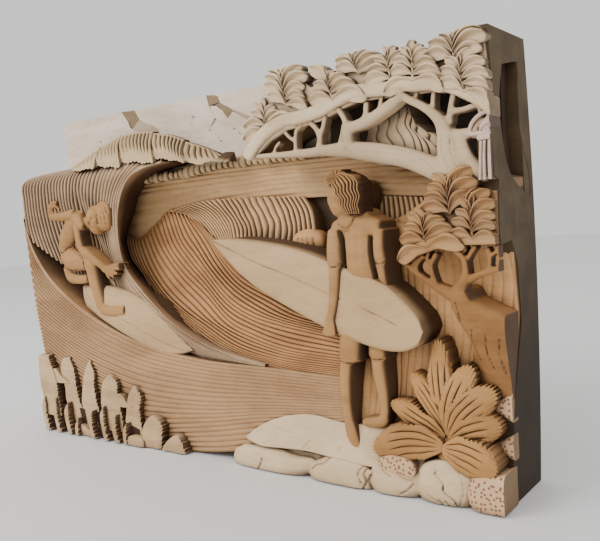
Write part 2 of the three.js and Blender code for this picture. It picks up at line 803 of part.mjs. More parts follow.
// The open space behind the lower branches.
function underLowerLeaves() {
  const outline = [[296, 20], [330, 26], [420, 30], [420, -40], [372, -18], [352, -6], [310, -2]];
  return prism(outline, channelFloor, latticeBack - overrun);
}

// The bank behind the figure and the lower tree.
function bank() {
  const ground = flutedSheet(
    [
      [[180, 66, 54], [250, 62, 58], [320, 62, 60], [406, 62, 60]],
      [[180, 0, 62], [250, 2, 64], [320, 2, 64], [406, 2, 62]],
      [[180, -80, 78], [250, -70, 72], [320, -60, 66], [406, -60, 60]],
      [[180, -150, 92], [250, -140, 82], [320, -130, 78], [406, -130, 78]],
      [[180, -200, 104], [250, -200, 98], [320, -206, 90], [406, -210, 88]],
    ],
    { ribs: 0, rows: 3 },
  );
  return joined([
    ground,
    dome([136, 42, 62], 20, 16, { sides: 7, crown: 0.5 }),
    dome([254, 46, 64], 22, 12, { sides: 7, crown: 0.5 }),
  ]);
}

function shrub() {
  const root = [336, -184, 116];
  return joined([
    shrubLeaf([332, -176, 108], [281, -116, 98], 17, 10),
    shrubLeaf([332, -180, 110], [256, -152, 110], 20, 6),
    shrubLeaf([336, -172, 108], [330, -80, 103], 17, -6),
    shrubLeaf([338, -176, 110], [368, -98, 106], 20, -8),
    shrubLeaf([340, -178, 110], [392, -126, 102], 20, -8),
    shrubLeaf([342, -182, 110], [394, -168, 100], 19, -4),
    shrubLeaf(root, [240, -202, 120], 24, -8),
    shrubLeaf([344, -188, 116], [398, -212, 124], 26, 10),
  ]);
}

function carvedPanel() {
  const slab = prism(slabOutline(), 0, skyDepth);
  const envelope = prism(slabOutline(), 0, depth);
  const wave = joined([waveFace(), frontWater()]).subtract(curlHollow()).subtract(ledgeChannel());
  const foam = crestFoam().subtract(foamNotches()).subtract(lipShadow());
  const trees = joined([canopy(), bank(), lowerTree()]).subtract(underCanopy()).subtract(underLowerLeaves());
  const relief = joined([
    slab, peaks(), seaBand(), farRow(), curlingRibs(), ribsBehindFigure(), swell(), wave, foam, trees,
    bluff(), upperBranches(), edgePost(), rider(), standingFigure(), shore(), shrub(), coral(),
  ]);
  return withoutPockets(relief.intersect(envelope));
}

// The carving as one body: sealed pockets between overlapping forms are filled, and chips
// that a cut leaves loose are dropped.
function withoutPockets(carving) {
  return joined(carving.decompose().filter((body) => body.volume() > looseChip));
}

// The surface of a solid, with edges shorter than a hair closed up to a single corner.
function surfaceOf(solid) {
  const mesh = solid.getMesh();
  const points = new THREE.BufferAttribute(new Float32Array(mesh.vertProperties), 3);
  const corner = (i) => new THREE.Vector3().fromBufferAttribute(points, i);
  const mergedInto = [...Array(points.count).keys()];
  const settled = (i) => (mergedInto[i] === i ? i : settled(mergedInto[i]));
  const faces = [];
  for (let i = 0; i < mesh.triVerts.length; i += 3) faces.push([...mesh.triVerts.slice(i, i + 3)]);
  for (const [a, b, c] of faces) {
    for (const [from, to] of [[a, b], [b, c], [c, a]]) {
      if (corner(from).distanceTo(corner(to)) < hair) mergedInto[settled(to)] = settled(from);
    }
  }
  const kept = faces.map((face) => face.map(settled)).filter((face) => new Set(face).size === 3);
  const geometry = new THREE.BufferGeometry();
  geometry.setAttribute('position', points);
  geometry.setIndex(kept.flat());
  const surface = mergeVertices(geometry, 1e-4);
  surface.computeVertexNormals();
  return surface;
}

const wood = new THREE.MeshStandardMaterial({ color: 0xb08a62, roughness: 0.75, metalness: 0 });
const panel = new THREE.Mesh(surfaceOf(carvedPanel()), wood);
panel.name = 'carved_panel';

const wallHanging = new THREE.Group();
wallHanging.add(panel);

export default wallHanging;
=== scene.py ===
# A wall panel carved from one thick slab of wood: a rider in a curling wave, a second figure
# with a board on the shore, and trees, rocks and coral around them.
# Places on the relief are written [x, z, h] in millimetres: right, up, and height above the back.
import math
import bmesh
import bpy
import numpy as np
from mathutils import Matrix, Vector
from mathutils.geometry import tessellate_polygon


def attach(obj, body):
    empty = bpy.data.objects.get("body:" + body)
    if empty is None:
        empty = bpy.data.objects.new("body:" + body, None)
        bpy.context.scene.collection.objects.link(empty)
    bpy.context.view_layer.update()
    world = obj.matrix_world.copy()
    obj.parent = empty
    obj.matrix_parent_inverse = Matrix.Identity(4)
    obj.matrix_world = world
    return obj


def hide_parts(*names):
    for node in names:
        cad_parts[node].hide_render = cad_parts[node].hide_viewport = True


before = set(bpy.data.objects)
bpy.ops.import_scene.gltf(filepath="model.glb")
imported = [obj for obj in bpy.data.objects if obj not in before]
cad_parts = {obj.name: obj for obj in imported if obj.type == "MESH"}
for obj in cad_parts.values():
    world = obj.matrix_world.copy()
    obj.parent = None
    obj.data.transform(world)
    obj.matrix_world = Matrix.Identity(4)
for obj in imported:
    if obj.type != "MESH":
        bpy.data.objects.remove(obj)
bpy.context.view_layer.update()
mm = 0.001
slab = {
    "halfWidth": 400,
    "halfHeight": 256,
    "depth": 127,
    "skyDepth": 28,
    "sideBow": 5,        # how far the right side falls back at its top and bottom
    "reliefEnd": 399.6,  # where the relief meets the plate of the right side
    "insetStep": 0.04,
    "boardInset": 0.02,
}

allPieces = []


def place(points):
    p = np.asarray(points, float)
    return np.stack([p[..., 0], -p[..., 2], p[..., 1]], -1) * mm


def smoothStep(values, low, high):
    t = np.clip((values - low) / (high - low), 0, 1)
    return t * t * (3 - 2 * t)


# A curve through the points, with knots spaced by the root of their distance
def smoothCurve(points, samples, closed=False):
    pts = np.asarray(points, float)
    if closed:
        pts = np.concatenate([pts[-1:], pts, pts[:2]])
    else:
        pts = np.concatenate([2 * pts[:1] - pts[1:2], pts, 2 * pts[-1:] - pts[-2:-1]])
    spans = len(pts) - 3
    t = np.linspace(0, spans, samples, endpoint=not closed)
    i = np.minimum(t.astype(int), spans - 1)
    w = (t - i).reshape(-1, *[1] * (pts.ndim - 1))
    p0, p1, p2, p3 = pts[i], pts[i + 1], pts[i + 2], pts[i + 3]

    def knot(a, b):
        return np.maximum(np.sqrt(np.linalg.norm(b - a, axis=-1, keepdims=True)), 1e-6)

    d0, d1, d2 = knot(p0, p1), knot(p1, p2), knot(p2, p3)
    m1 = ((p1 - p0) / d0 - (p2 - p0) / (d0 + d1) + (p2 - p1) / d1) * d1
    m2 = ((p2 - p1) / d1 - (p3 - p1) / (d1 + d2) + (p3 - p2) / d2) * d1
    return ((2 * w**3 - 3 * w**2 + 1) * p1 + (w**3 - 2 * w**2 + w) * m1
            + (3 * w**2 - 2 * w**3) * p2 + (w**3 - w**2) * m2)


# A surface stretched over guide curves: [column, row, xzh], with the rows running along the guides
def stretched(guides, columns, rows):
    along = np.stack([smoothCurve(guide, rows + 1) for guide in guides])
    return smoothCurve(along, columns + 1)


def newObject(name, vertices, faces):
    mesh = bpy.data.meshes.new(name)
    mesh.from_pydata(np.asarray(vertices).tolist(), [], faces)
    mesh.update()
    obj = bpy.data.objects.new(name, mesh)
    bpy.context.scene.collection.objects.link(obj)
    return obj


def setAttribute(obj, name, values):
    layer = obj.data.attributes.new(name, "FLOAT", "POINT")
    layer.data.foreach_set("value", np.asarray(values, np.float32))


def outward(obj):
    bm = bmesh.new()
    bm.from_mesh(obj.data)
    bmesh.ops.recalc_face_normals(bm, faces=bm.faces)
    bm.to_mesh(obj.data)
    bm.free()


def rimOf(columns, rows):
    first = [(c, 0) for c in range(columns - 1)]
    second = [(columns - 1, r) for r in range(rows - 1)]
    third = [(c, rows - 1) for c in range(columns - 1, 0, -1)]
    fourth = [(0, r) for r in range(rows - 1, 0, -1)]
    return first + second + third + fourth


# A closed body: the grid in front, walls back to the floor, and a flat back.
# lean moves the foot of the walls sideways, so that they can be undercut.
def gridBody(name, grid, floor, lean=None):
    columns, rows = grid.shape[:2]
    rim = rimOf(columns, rows)
    foot = np.array([grid[c, r] for c, r in rim])
    foot[:, 2] = np.minimum(floor, foot[:, 2] - 1)
    if lean is not None:
        foot[:, :2] += lean(rim, columns, rows)
    vertices = place(np.vstack([grid.reshape(-1, 3), foot]))
    base = columns * rows
    faces = []
    for c in range(columns - 1):
        for r in range(rows - 1):
            a = c * rows + r
            faces.append((a, a + rows, a + rows + 1, a + 1))
    count = len(rim)
    for i, (c, r) in enumerate(rim):
        nextC, nextR = rim[(i + 1) % count]
        faces.append((c * rows + r, base + i, base + (i + 1) % count, nextC * rows + nextR))
    faces.append(tuple(range(base, base + count)))
    obj = newObject(name, vertices, faces)
    u, v = np.meshgrid(np.linspace(0, 1, columns), np.linspace(0, 1, rows), indexing="ij")
    tail = np.zeros(count)
    setAttribute(obj, "across", np.concatenate([u.ravel(), tail]))
    setAttribute(obj, "along", np.concatenate([v.ravel(), tail]))
    setAttribute(obj, "wall", np.concatenate([np.zeros(base), tail + 1]))
    outward(obj)
    return obj


# Cuts off what stands outside the slab and closes the cut faces. Each piece ends a hair's breadth
# further in than the one before, so that no two cut faces lie in one plane.
def trimToSlab(obj):
    bm = bmesh.new()
    bm.from_mesh(obj.data)
    inset = slab["insetStep"] * (len(allPieces) + 1)
    half, top, front = (slab["halfWidth"] - inset) * mm, (slab["halfHeight"] - inset) * mm, slab["depth"] * mm
    end = (slab["reliefEnd"] - inset) * mm
    planes = [((-half, 0, 0), (-1, 0, 0)), ((end, 0, 0), (1, 0, 0)), ((0, 0, -top), (0, 0, -1)),
              ((0, 0, top), (0, 0, 1)), ((0, -front, 0), (0, -1, 0))]
    for spot, normal in planes:
        reach = max((v.co - Vector(spot)).dot(Vector(normal)) for v in bm.verts)
        if reach < 1e-6:
            continue
        parts = bm.verts[:] + bm.edges[:] + bm.faces[:]
        cut = bmesh.ops.bisect_plane(bm, geom=parts, plane_co=spot, plane_no=normal, clear_outer=True, dist=1e-6)
        edges = [e for e in cut["geom_cut"] if isinstance(e, bmesh.types.BMEdge) and e.is_boundary]
        bmesh.ops.holes_fill(bm, edges=edges, sides=0)
    bmesh.ops.recalc_face_normals(bm, faces=bm.faces)
    wall = bm.verts.layers.float.get("wall")
    if wall:
        for vert in bm.verts:
            if abs(vert.co.x) > (slab["halfWidth"] - 4) * mm or abs(vert.co.z) > (slab["halfHeight"] - 4) * mm:
                vert[wall] = 0
    bm.to_mesh(obj.data)
    bm.free()


def vertexArray(obj):
    co = np.empty(len(obj.data.vertices) * 3, np.float32)
    obj.data.vertices.foreach_get("co", co)
    return co.reshape(-1, 3)


def writeVertices(obj, co):
    obj.data.vertices.foreach_set("co", np.asarray(co, np.float32).ravel())
    obj.data.update()


# The slab's right side is slightly bowed
def bowRightSide(obj):
    co = vertexArray(obj)
    share = smoothStep(co[:, 0], 0.3, 0.4)
    co[:, 0] -= share * slab["sideBow"] * mm * (co[:, 2] / (slab["halfHeight"] * mm)) ** 2
    writeVertices(obj, co)


def evaluatedMesh(obj):
    graph = bpy.context.evaluated_depsgraph_get()
    mesh = bpy.data.meshes.new_from_object(obj.evaluated_get(graph))
    obj.modifiers.clear()
    old = obj.data
    obj.data = mesh
    bpy.data.meshes.remove(old)
    return obj


def joinAll(name, objects):
    bm = bmesh.new()
    for obj in objects:
        bm.from_mesh(obj.data)
    mesh = bpy.data.meshes.new(name)
    bm.to_mesh(mesh)
    bm.free()
    for obj in objects:
        bpy.data.objects.remove(obj)
    whole = bpy.data.objects.new(name, mesh)
    bpy.context.scene.collection.objects.link(whole)
    return whole


# Fuses overlapping bodies into one skin of even faces and softens its creases
def fuse(obj, grain, softness=2):
    remesh = obj.modifiers.new("fuse", "REMESH")
    remesh.mode = "VOXEL"
    remesh.voxel_size = grain * mm
    if softness:
        smooth = obj.modifiers.new("soften", "SMOOTH")
        smooth.factor = 0.5
        smooth.iterations = softness
    return evaluatedMesh(obj)


def subtract(obj, cutter):
    cut = obj.modifiers.new("cut", "BOOLEAN")
    cut.operation = "DIFFERENCE"
    cut.solver = "EXACT"
    cut.object = cutter
    evaluatedMesh(obj)
    bpy.data.objects.remove(cutter)
    return obj


def finishPiece(obj, material, sharpAngle=38):
    obj.data.materials.clear()
    obj.data.materials.append(material)
    obj.data.polygons.foreach_set("material_index", [0] * len(obj.data.polygons))
    obj.data.polygons.foreach_set("use_smooth", [True] * len(obj.data.polygons))
    obj.data.set_sharp_from_angle(angle=math.radians(sharpAngle))
    allPieces.append(obj)
    bm = bmesh.new()
    bm.from_mesh(obj.data)
    open_ = sum(1 for e in bm.edges if e.is_boundary)
    bm.free()
    if open_:
        print("   OPEN", obj.name, open_)
    print("made", obj.name, sum(len(p.vertices) - 2 for p in obj.data.polygons), "triangles")
    return obj


def nodeTree(name, inputs):
    tree = bpy.data.node_groups.new(name, "GeometryNodeTree")
    tree.interface.new_socket("Geometry", in_out="INPUT", socket_type="NodeSocketGeometry")
    for label, kind in inputs:
        tree.interface.new_socket(label, in_out="INPUT", socket_type=f"NodeSocket{kind}")
    tree.interface.new_socket("Geometry", in_out="OUTPUT", socket_type="NodeSocketGeometry")
    source = tree.nodes.new("NodeGroupInput")
    sink = tree.nodes.new("NodeGroupOutput")
    return tree, source, sink


class Wiring:
    # Short ways to add nodes to a tree and join them up
    def __init__(self, tree):
        self.tree = tree

    def node(self, kind, settings=None, **values):
        made = self.tree.nodes.new(kind)
        for key, value in (settings or {}).items():
            setattr(made, key, value)
        for key, value in values.items():
            self.feed(made.inputs[int(key[1:]) if key[1:].isdigit() else key.replace("_", " ")], value)
        return made

    def feed(self, socket, value):
        if isinstance(value, bpy.types.NodeSocket):
            self.tree.links.new(value, socket)
        else:
            socket.default_value = value

    def maths(self, operation, a, b=0.0, c=0.0):
        return self.node("ShaderNodeMath", {"operation": operation}, i0=a, i1=b, i2=c).outputs[0]

    def named(self, name):
        made = self.node("GeometryNodeInputNamedAttribute", {"data_type": "FLOAT"}, Name=name)
        return made.outputs["Attribute"]

    def scaled(self, vector, amount):
        made = self.node("ShaderNodeVectorMath", {"operation": "SCALE"}, i0=vector)
        self.feed(made.inputs["Scale"], amount)
        return made.outputs[0]

    def finished(self, geometry, material):
        real = self.node("GeometryNodeRealizeInstances", Geometry=geometry)
        return self.node("GeometryNodeSetMaterial", Geometry=real.outputs[0], Material=material).outputs[0]


# Grooves that run along a sheet: round ridges with sharp valleys between them
def makeGrooveTree():
    tree, source, sink = nodeTree("grooves", [
        ("Ridges", "Float"), ("Depth", "Float"), ("Fullness", "Float"), ("Share", "Float"),
        ("Chatter", "Float"), ("Seed", "Float"), ("Material", "Material")])
    w = Wiring(tree)
    across = w.named("across")

    def ridge(count):
        wave = w.maths("ABSOLUTE", w.maths("SINE", w.maths("MULTIPLY", w.maths("MULTIPLY", across, count), math.pi)))
        return w.maths("POWER", wave, source.outputs["Fullness"])

    fine = ridge(source.outputs["Ridges"])
    coarse = ridge(w.maths("MULTIPLY", source.outputs["Ridges"], 0.5))
    merge = w.named("merge")
    shape = w.maths("ADD", w.maths("MULTIPLY", fine, w.maths("SUBTRACT", 1.0, merge)),
                    w.maths("MULTIPLY", coarse, merge))
    pitch = w.named("pitch")
    limit = w.maths("MULTIPLY", pitch, source.outputs["Share"])
    depth = w.maths("MULTIPLY", w.maths("MINIMUM", source.outputs["Depth"], limit), w.named("strength"))
    noise = w.node("ShaderNodeTexNoise", {"noise_dimensions": "4D"}, Scale=95.0, Detail=2.0)
    w.feed(noise.inputs["W"], source.outputs["Seed"])
    most = w.maths("MINIMUM", source.outputs["Chatter"], w.maths("MULTIPLY", pitch, 0.1))
    chatter = w.maths("MULTIPLY", w.maths("SUBTRACT", noise.outputs[0], 0.5), most)
    chatter = w.maths("MULTIPLY", chatter, w.named("strength"))
    sunk = w.maths("SUBTRACT", w.maths("MULTIPLY", w.maths("SUBTRACT", shape, 1.0), depth), chatter)
    normal = w.node("GeometryNodeInputNormal").outputs[0]
    moved = w.node("GeometryNodeSetPosition", Geometry=source.outputs["Geometry"], Offset=w.scaled(normal, sunk))
    tree.links.new(w.finished(moved.outputs[0], source.outputs["Material"]), sink.inputs[0])
    return tree


# Copies of one form set in a row along the host's own points, each sized and swung a little
def makeRowTree():
    tree, source, sink = nodeTree("row", [
        ("Form", "Object"), ("Smallest", "Float"), ("Largest", "Float"), ("Swing", "Float"),
        ("Seed", "Int"), ("Material", "Material")])
    w = Wiring(tree)
    out = source.outputs
    form = w.node("GeometryNodeObjectInfo", Object=out["Form"])
    size = w.node("FunctionNodeRandomValue", {"data_type": "FLOAT"}, Seed=out["Seed"])
    w.feed(size.inputs[2], out["Smallest"])
    w.feed(size.inputs[3], out["Largest"])
    swing = w.node("FunctionNodeRandomValue", {"data_type": "FLOAT"}, Seed=w.maths("ADD", out["Seed"], 7.0))
    w.feed(swing.inputs[2], w.maths("MULTIPLY", out["Swing"], -1.0))
    w.feed(swing.inputs[3], out["Swing"])
    turned = w.node("ShaderNodeCombineXYZ", Y=w.maths("ADD", w.named("turn"), swing.outputs[1]))
    scale = w.maths("MULTIPLY", w.named("size"), size.outputs[1])
    copies = w.node("GeometryNodeInstanceOnPoints", Points=out["Geometry"], Instance=form.outputs["Geometry"],
                    Rotation=turned.outputs[0], Scale=scale)
    tree.links.new(w.finished(copies.outputs[0], out["Material"]), sink.inputs[0])
    return tree


# Drilled dots and rough tool marks pressed into a surface
def makePittedTree():
    tree, source, sink = nodeTree("pitted", [
        ("Spacing", "Float"), ("Width", "Float"), ("Depth", "Float"), ("Rough", "Float"), ("Grain", "Float"),
        ("Seed", "Float"), ("Material", "Material")])
    w = Wiring(tree)
    out = source.outputs
    where = w.node("GeometryNodeInputPosition").outputs[0]
    spot = w.node("ShaderNodeSeparateXYZ", Vector=where)
    flat = w.node("ShaderNodeCombineXYZ", X=spot.outputs["X"], Y=spot.outputs["Z"])
    dots = w.node("ShaderNodeTexVoronoi", {"voronoi_dimensions": "2D"}, Vector=flat.outputs[0],
                  Scale=w.maths("DIVIDE", 1.0, out["Spacing"]), Randomness=0.6)
    dip = w.maths("SUBTRACT", 1.0, w.maths("MINIMUM", 1.0, w.maths("DIVIDE", dots.outputs["Distance"], out["Width"])))
    dip = w.maths("MULTIPLY", w.maths("MULTIPLY", w.maths("SQRT", dip), out["Depth"]), w.named("pits"))
    noise = w.node("ShaderNodeTexNoise", {"noise_dimensions": "4D"}, Vector=where, Detail=3.0)
    w.feed(noise.inputs["Scale"], out["Grain"])
    w.feed(noise.inputs["W"], out["Seed"])
    rough = w.maths("MULTIPLY", w.maths("SUBTRACT", noise.outputs[0], 0.5), out["Rough"])
    normal = w.node("GeometryNodeInputNormal").outputs[0]
    sunk = w.scaled(normal, w.maths("SUBTRACT", rough, dip))
    moved = w.node("GeometryNodeSetPosition", Geometry=out["Geometry"], Offset=sunk)
    tree.links.new(w.finished(moved.outputs[0], out["Material"]), sink.inputs[0])
    return tree


grooveTree = makeGrooveTree()
rowTree = makeRowTree()
pittedTree = makePittedTree()


def applyNodes(obj, tree, values):
    modifier = obj.modifiers.new(tree.name, "NODES")
    modifier.node_group = tree
    sockets = {item.name: item.identifier for item in tree.interface.items_tree if item.in_out == "INPUT"}
    for label, value in values.items():
        modifier[sockets[label]] = value
    return evaluatedMesh(obj)


# Moves the columns of a grid a little along the surface, so that the ribs sway
def swayed(grid, amount, seed):
    columns, rows = grid.shape[:2]
    u = np.linspace(0, 1, columns)[:, None]
    v = np.linspace(0, 1, rows)[None]
    shift = np.sin(9 * u + 5 * v + seed) + 0.6 * np.sin(23 * u - 11 * v + 2 * seed) + 0.4 * np.sin(41 * u + 17 * v)
    spot = np.clip(u + amount * shift * np.sin(math.pi * u), 0, 1) * (columns - 1)
    i = np.minimum(spot.astype(int), columns - 2)
    w = (spot - i)[..., None]
    r = np.broadcast_to(np.arange(rows), (columns, rows))
    return grid[i, r] * (1 - w) + grid[i + 1, r] * w


# Shortens the rows of each column to a share of their length, for a ragged far edge
def ragged(grid, lengths):
    columns, rows = grid.shape[:2]
    out = np.empty_like(grid)
    for c in range(columns):
        spot = np.linspace(0, lengths[c], rows) * (rows - 1)
        for axis in range(3):
            out[c, :, axis] = np.interp(spot, np.arange(rows), grid[c, :, axis])
    return out


# A carved sheet with its ribs; strength and merge are arrays over the grid or plain numbers
def ribbedBody(name, grid, floor, ribs, settings, material, strength=1.0, merge=0.0, lean=None, seed=0.0):
    columns, rows = grid.shape[:2]
    obj = gridBody(name, grid, floor, lean)
    perRib = (columns - 1) / ribs
    gap = np.linalg.norm(np.diff(grid, axis=0), axis=-1)
    pitch = np.concatenate([gap[:1], (gap[1:] + gap[:-1]) / 2, gap[-1:]]) * perRib * mm
    count = len(obj.data.vertices)
    for label, values in (("strength", strength), ("merge", merge), ("pitch", pitch)):
        full = np.zeros(count)
        full[:columns * rows] = np.broadcast_to(values, (columns, rows)).ravel()
        setAttribute(obj, label, full)
    applyNodes(obj, grooveTree, {
        "Ridges": float(ribs), "Depth": settings["cut"] * mm, "Fullness": settings.get("fullness", 0.75),
        "Share": settings.get("share", 0.42), "Chatter": settings.get("chatter", 0.5) * mm, "Seed": float(seed),
        "Material": material})
    return obj


def edgeFade(columns, rows, sides=0.0, ends=0.0, last=0.0):
    u = np.linspace(0, 1, columns)[:, None]
    v = np.linspace(0, 1, rows)[None]
    fade = np.ones((columns, rows))
    if sides:
        fade = fade * smoothStep(np.minimum(u, 1 - u), 0, sides)
    if ends:
        fade = fade * smoothStep(np.minimum(v, 1 - v), 0, ends)
    if last:
        fade = fade * smoothStep(1 - u, last * 0.5, last)
    return fade


# A limb or branch along [x, z, h, r] points, rounded in front, with its sides straight back
def limbBody(path, floor, swell=0.85, ends="both", blunt=0.8, around=18, perPoint=9):
    path = np.asarray(path, float)
    rings = smoothCurve(path, perPoint * (len(path) - 1) + 1)

    def cap(end, inner):
        outwards = end[:2] - inner[:2]
        outwards /= max(np.linalg.norm(outwards), 1e-6)
        steps = []
        for angle in np.radians([22, 42, 60, 75, 86]):
            r = end[3]
            spot = end[:2] + outwards * r * blunt * math.sin(angle)
            steps.append([*spot, end[2] - r * swell * (1 - math.cos(angle)), r * math.cos(angle)])
        return np.array(steps)

    if ends in ("both", "first"):
        rings = np.concatenate([cap(rings[0], rings[1])[::-1], rings])
    if ends in ("both", "last"):
        rings = np.concatenate([rings, cap(rings[-1], rings[-2])])
    heading = np.gradient(rings[:, :2], axis=0)
    heading /= np.maximum(np.linalg.norm(heading, axis=1, keepdims=True), 1e-6)
    side = np.stack([-heading[:, 1], heading[:, 0]], 1)
    angles = np.linspace(-math.pi / 2, math.pi / 2, around + 1)
    grid = np.empty((around + 1, len(rings), 3))
    for c, angle in enumerate(angles):
        grid[c, :, :2] = rings[:, :2] + side * rings[:, 3:4] * math.sin(angle)
        grid[c, :, 2] = rings[:, 2] - rings[:, 3] * swell * (1 - math.cos(angle))
    return gridBody("limb", grid, floor)


def domeBody(x, z, h, radiusX, radiusZ, floor, crown=0.6, uneven=0.0, seed=0.0, around=36, turn=0.0):
    angles = np.linspace(0, 2 * math.pi, around, endpoint=False)
    bump = 1 + uneven * (np.sin(3 * angles + seed) * np.cos(2 * angles + 2 * seed) + 0.5 * np.sin(5 * angles + 3 * seed))
    slopes = np.radians([0, 12, 26, 40, 54, 68, 80, 90])
    deep = crown * min(radiusX, radiusZ)
    vertices = [[x, z, h]]
    for slope in slopes[1:]:
        a = radiusX * math.sin(slope) * bump * np.cos(angles)
        b = radiusZ * math.sin(slope) * bump * np.sin(angles)
        ring = np.stack([x + a * math.cos(turn) - b * math.sin(turn), z + a * math.sin(turn) + b * math.cos(turn),
                         np.full(around, h - deep * (1 - math.cos(slope)))], 1)
        vertices.extend(ring.tolist())
    foot = np.array(vertices[-around:])
    foot[:, 2] = floor
    vertices.extend(foot.tolist())
    rings = len(slopes)
    faces = [(0, 1 + i, 1 + (i + 1) % around) for i in range(around)]
    for ring in range(rings - 1):
        a, b = 1 + ring * around, 1 + (ring + 1) * around
        for i in range(around):
            j = (i + 1) % around
            faces.append((a + i, b + i, b + j, a + j))
    last = 1 + (rings - 1) * around
    faces.append(tuple(range(last, last + around)))
    obj = newObject("dome", place(vertices), faces)
    outward(obj)
    return obj


# A flat body cut along an outline, with a height for the whole front or for each corner
def prismBody(name, outline, floor, front, holes=()):
    outline = [list(point) for point in outline]
    tops = [point[2] if len(point) > 2 else front for point in outline]
    loops = [[(p[0], p[1], top) for p, top in zip(outline, tops)]]
    loops += [[(p[0], p[1], front) for p in hole] for hole in holes]
    flat = [[Vector((p[0], p[1], 0)) for p in loop] for loop in loops]
    faces = [tuple(tri) for tri in tessellate_polygon(flat)]
    points = [p for loop in loops for p in loop]
    count = len(points)
    vertices = place(points + [(p[0], p[1], floor) for p in points])
    whole = list(faces) + [tuple(i + count for i in reversed(face)) for face in faces]
    start = 0
    for loop in loops:
        size = len(loop)
        for i in range(size):
            a, b = start + i, start + (i + 1) % size
            whole.append((a, a + count, b + count, b))
        start += size
    obj = newObject(name, vertices, whole)
    outward(obj)
    return obj


def roundHole(x, z, radiusX, radiusZ, turn=0.0, sides=20):
    angles = np.linspace(0, 2 * math.pi, sides, endpoint=False)
    a, b = radiusX * np.cos(angles), radiusZ * np.sin(angles)
    return [(x + p * math.cos(turn) - q * math.sin(turn), z + p * math.sin(turn) + q * math.cos(turn))
            for p, q in zip(a, b)]


# Presses soft dents (or, with a negative depth, bumps) into the front: [x, z, rx, rz, depth]
def press(obj, spots):
    co = vertexArray(obj)
    x, z = co[:, 0] / mm, co[:, 2] / mm
    front = -vertexNormals(obj)[:, 1] > 0.2
    for spotX, spotZ, radiusX, radiusZ, depth in spots:
        near = np.exp(-((x - spotX) / radiusX) ** 2 - ((z - spotZ) / radiusZ) ** 2)
        co[:, 1] += front * near * depth * mm
    writeVertices(obj, co)


# Cuts narrow lines into the front: each is a list of [x, z] points with a width and a depth
def incise(obj, lines, facing=0.25):
    co = vertexArray(obj)
    spots = np.stack([co[:, 0], co[:, 2]], 1) / mm
    front = np.clip((-vertexNormals(obj)[:, 1] - facing) / 0.2, 0, 1)
    push = np.zeros(len(co))
    for points, width, depth in lines:
        path = smoothCurve(points, 12 * (len(points) - 1) + 1)
        low, high = path.min(0) - width, path.max(0) + width
        inside = np.flatnonzero(((spots > low) & (spots < high)).all(1))
        if not len(inside):
            continue
        near = np.full(len(inside), 1e9)
        for a, b in zip(path[:-1], path[1:]):
            ab = b - a
            t = np.clip(((spots[inside] - a) @ ab) / max(ab @ ab, 1e-9), 0, 1)
            near = np.minimum(near, np.linalg.norm(spots[inside] - (a + t[:, None] * ab), axis=1))
        push[inside] = np.maximum(push[inside], np.clip(1 - near / width, 0, 1) * depth)
    co[:, 1] += push * front * mm
    writeVertices(obj, co)


def vertexNormals(obj):
    normals = np.empty(len(obj.data.vertices) * 3, np.float32)
    obj.data.vertex_normals.foreach_get("vector", normals)
    return normals.reshape(-1, 3)


# Wood: streaky grain across the whole slab and a thin grey bloom where the surface has dried out, with painted shade
# in the crevices (deepened by the stain left in the hollows), at the foot of the walls, and on the sides that face
# right (deepened by their darker end grain).
def linear(colour):
    return tuple((c / 255 / 12.92) if c / 255 <= 0.04045 else ((c / 255 + 0.055) / 1.055) ** 2.4 for c in colour) + (1,)


woodShared = {
    # hollow: the colour of the pores, and of the painted shade in crevices and at the foot of the walls
    "hollow": (58, 33, 20),
    # edge: the painted shade of the sides that face right
    "edge": (70, 52, 38),
    "bloom": (168, 164, 158),
    "grainScale": 26,
    "poreScale": 240,
    "creviceReach": 0.026,
    "lowSide": (36, 22, 10),
    # dot: the painted shade inside the drilled pits
    "dot": (112, 58, 40),
    "dotSpacing": 0.0056,
}


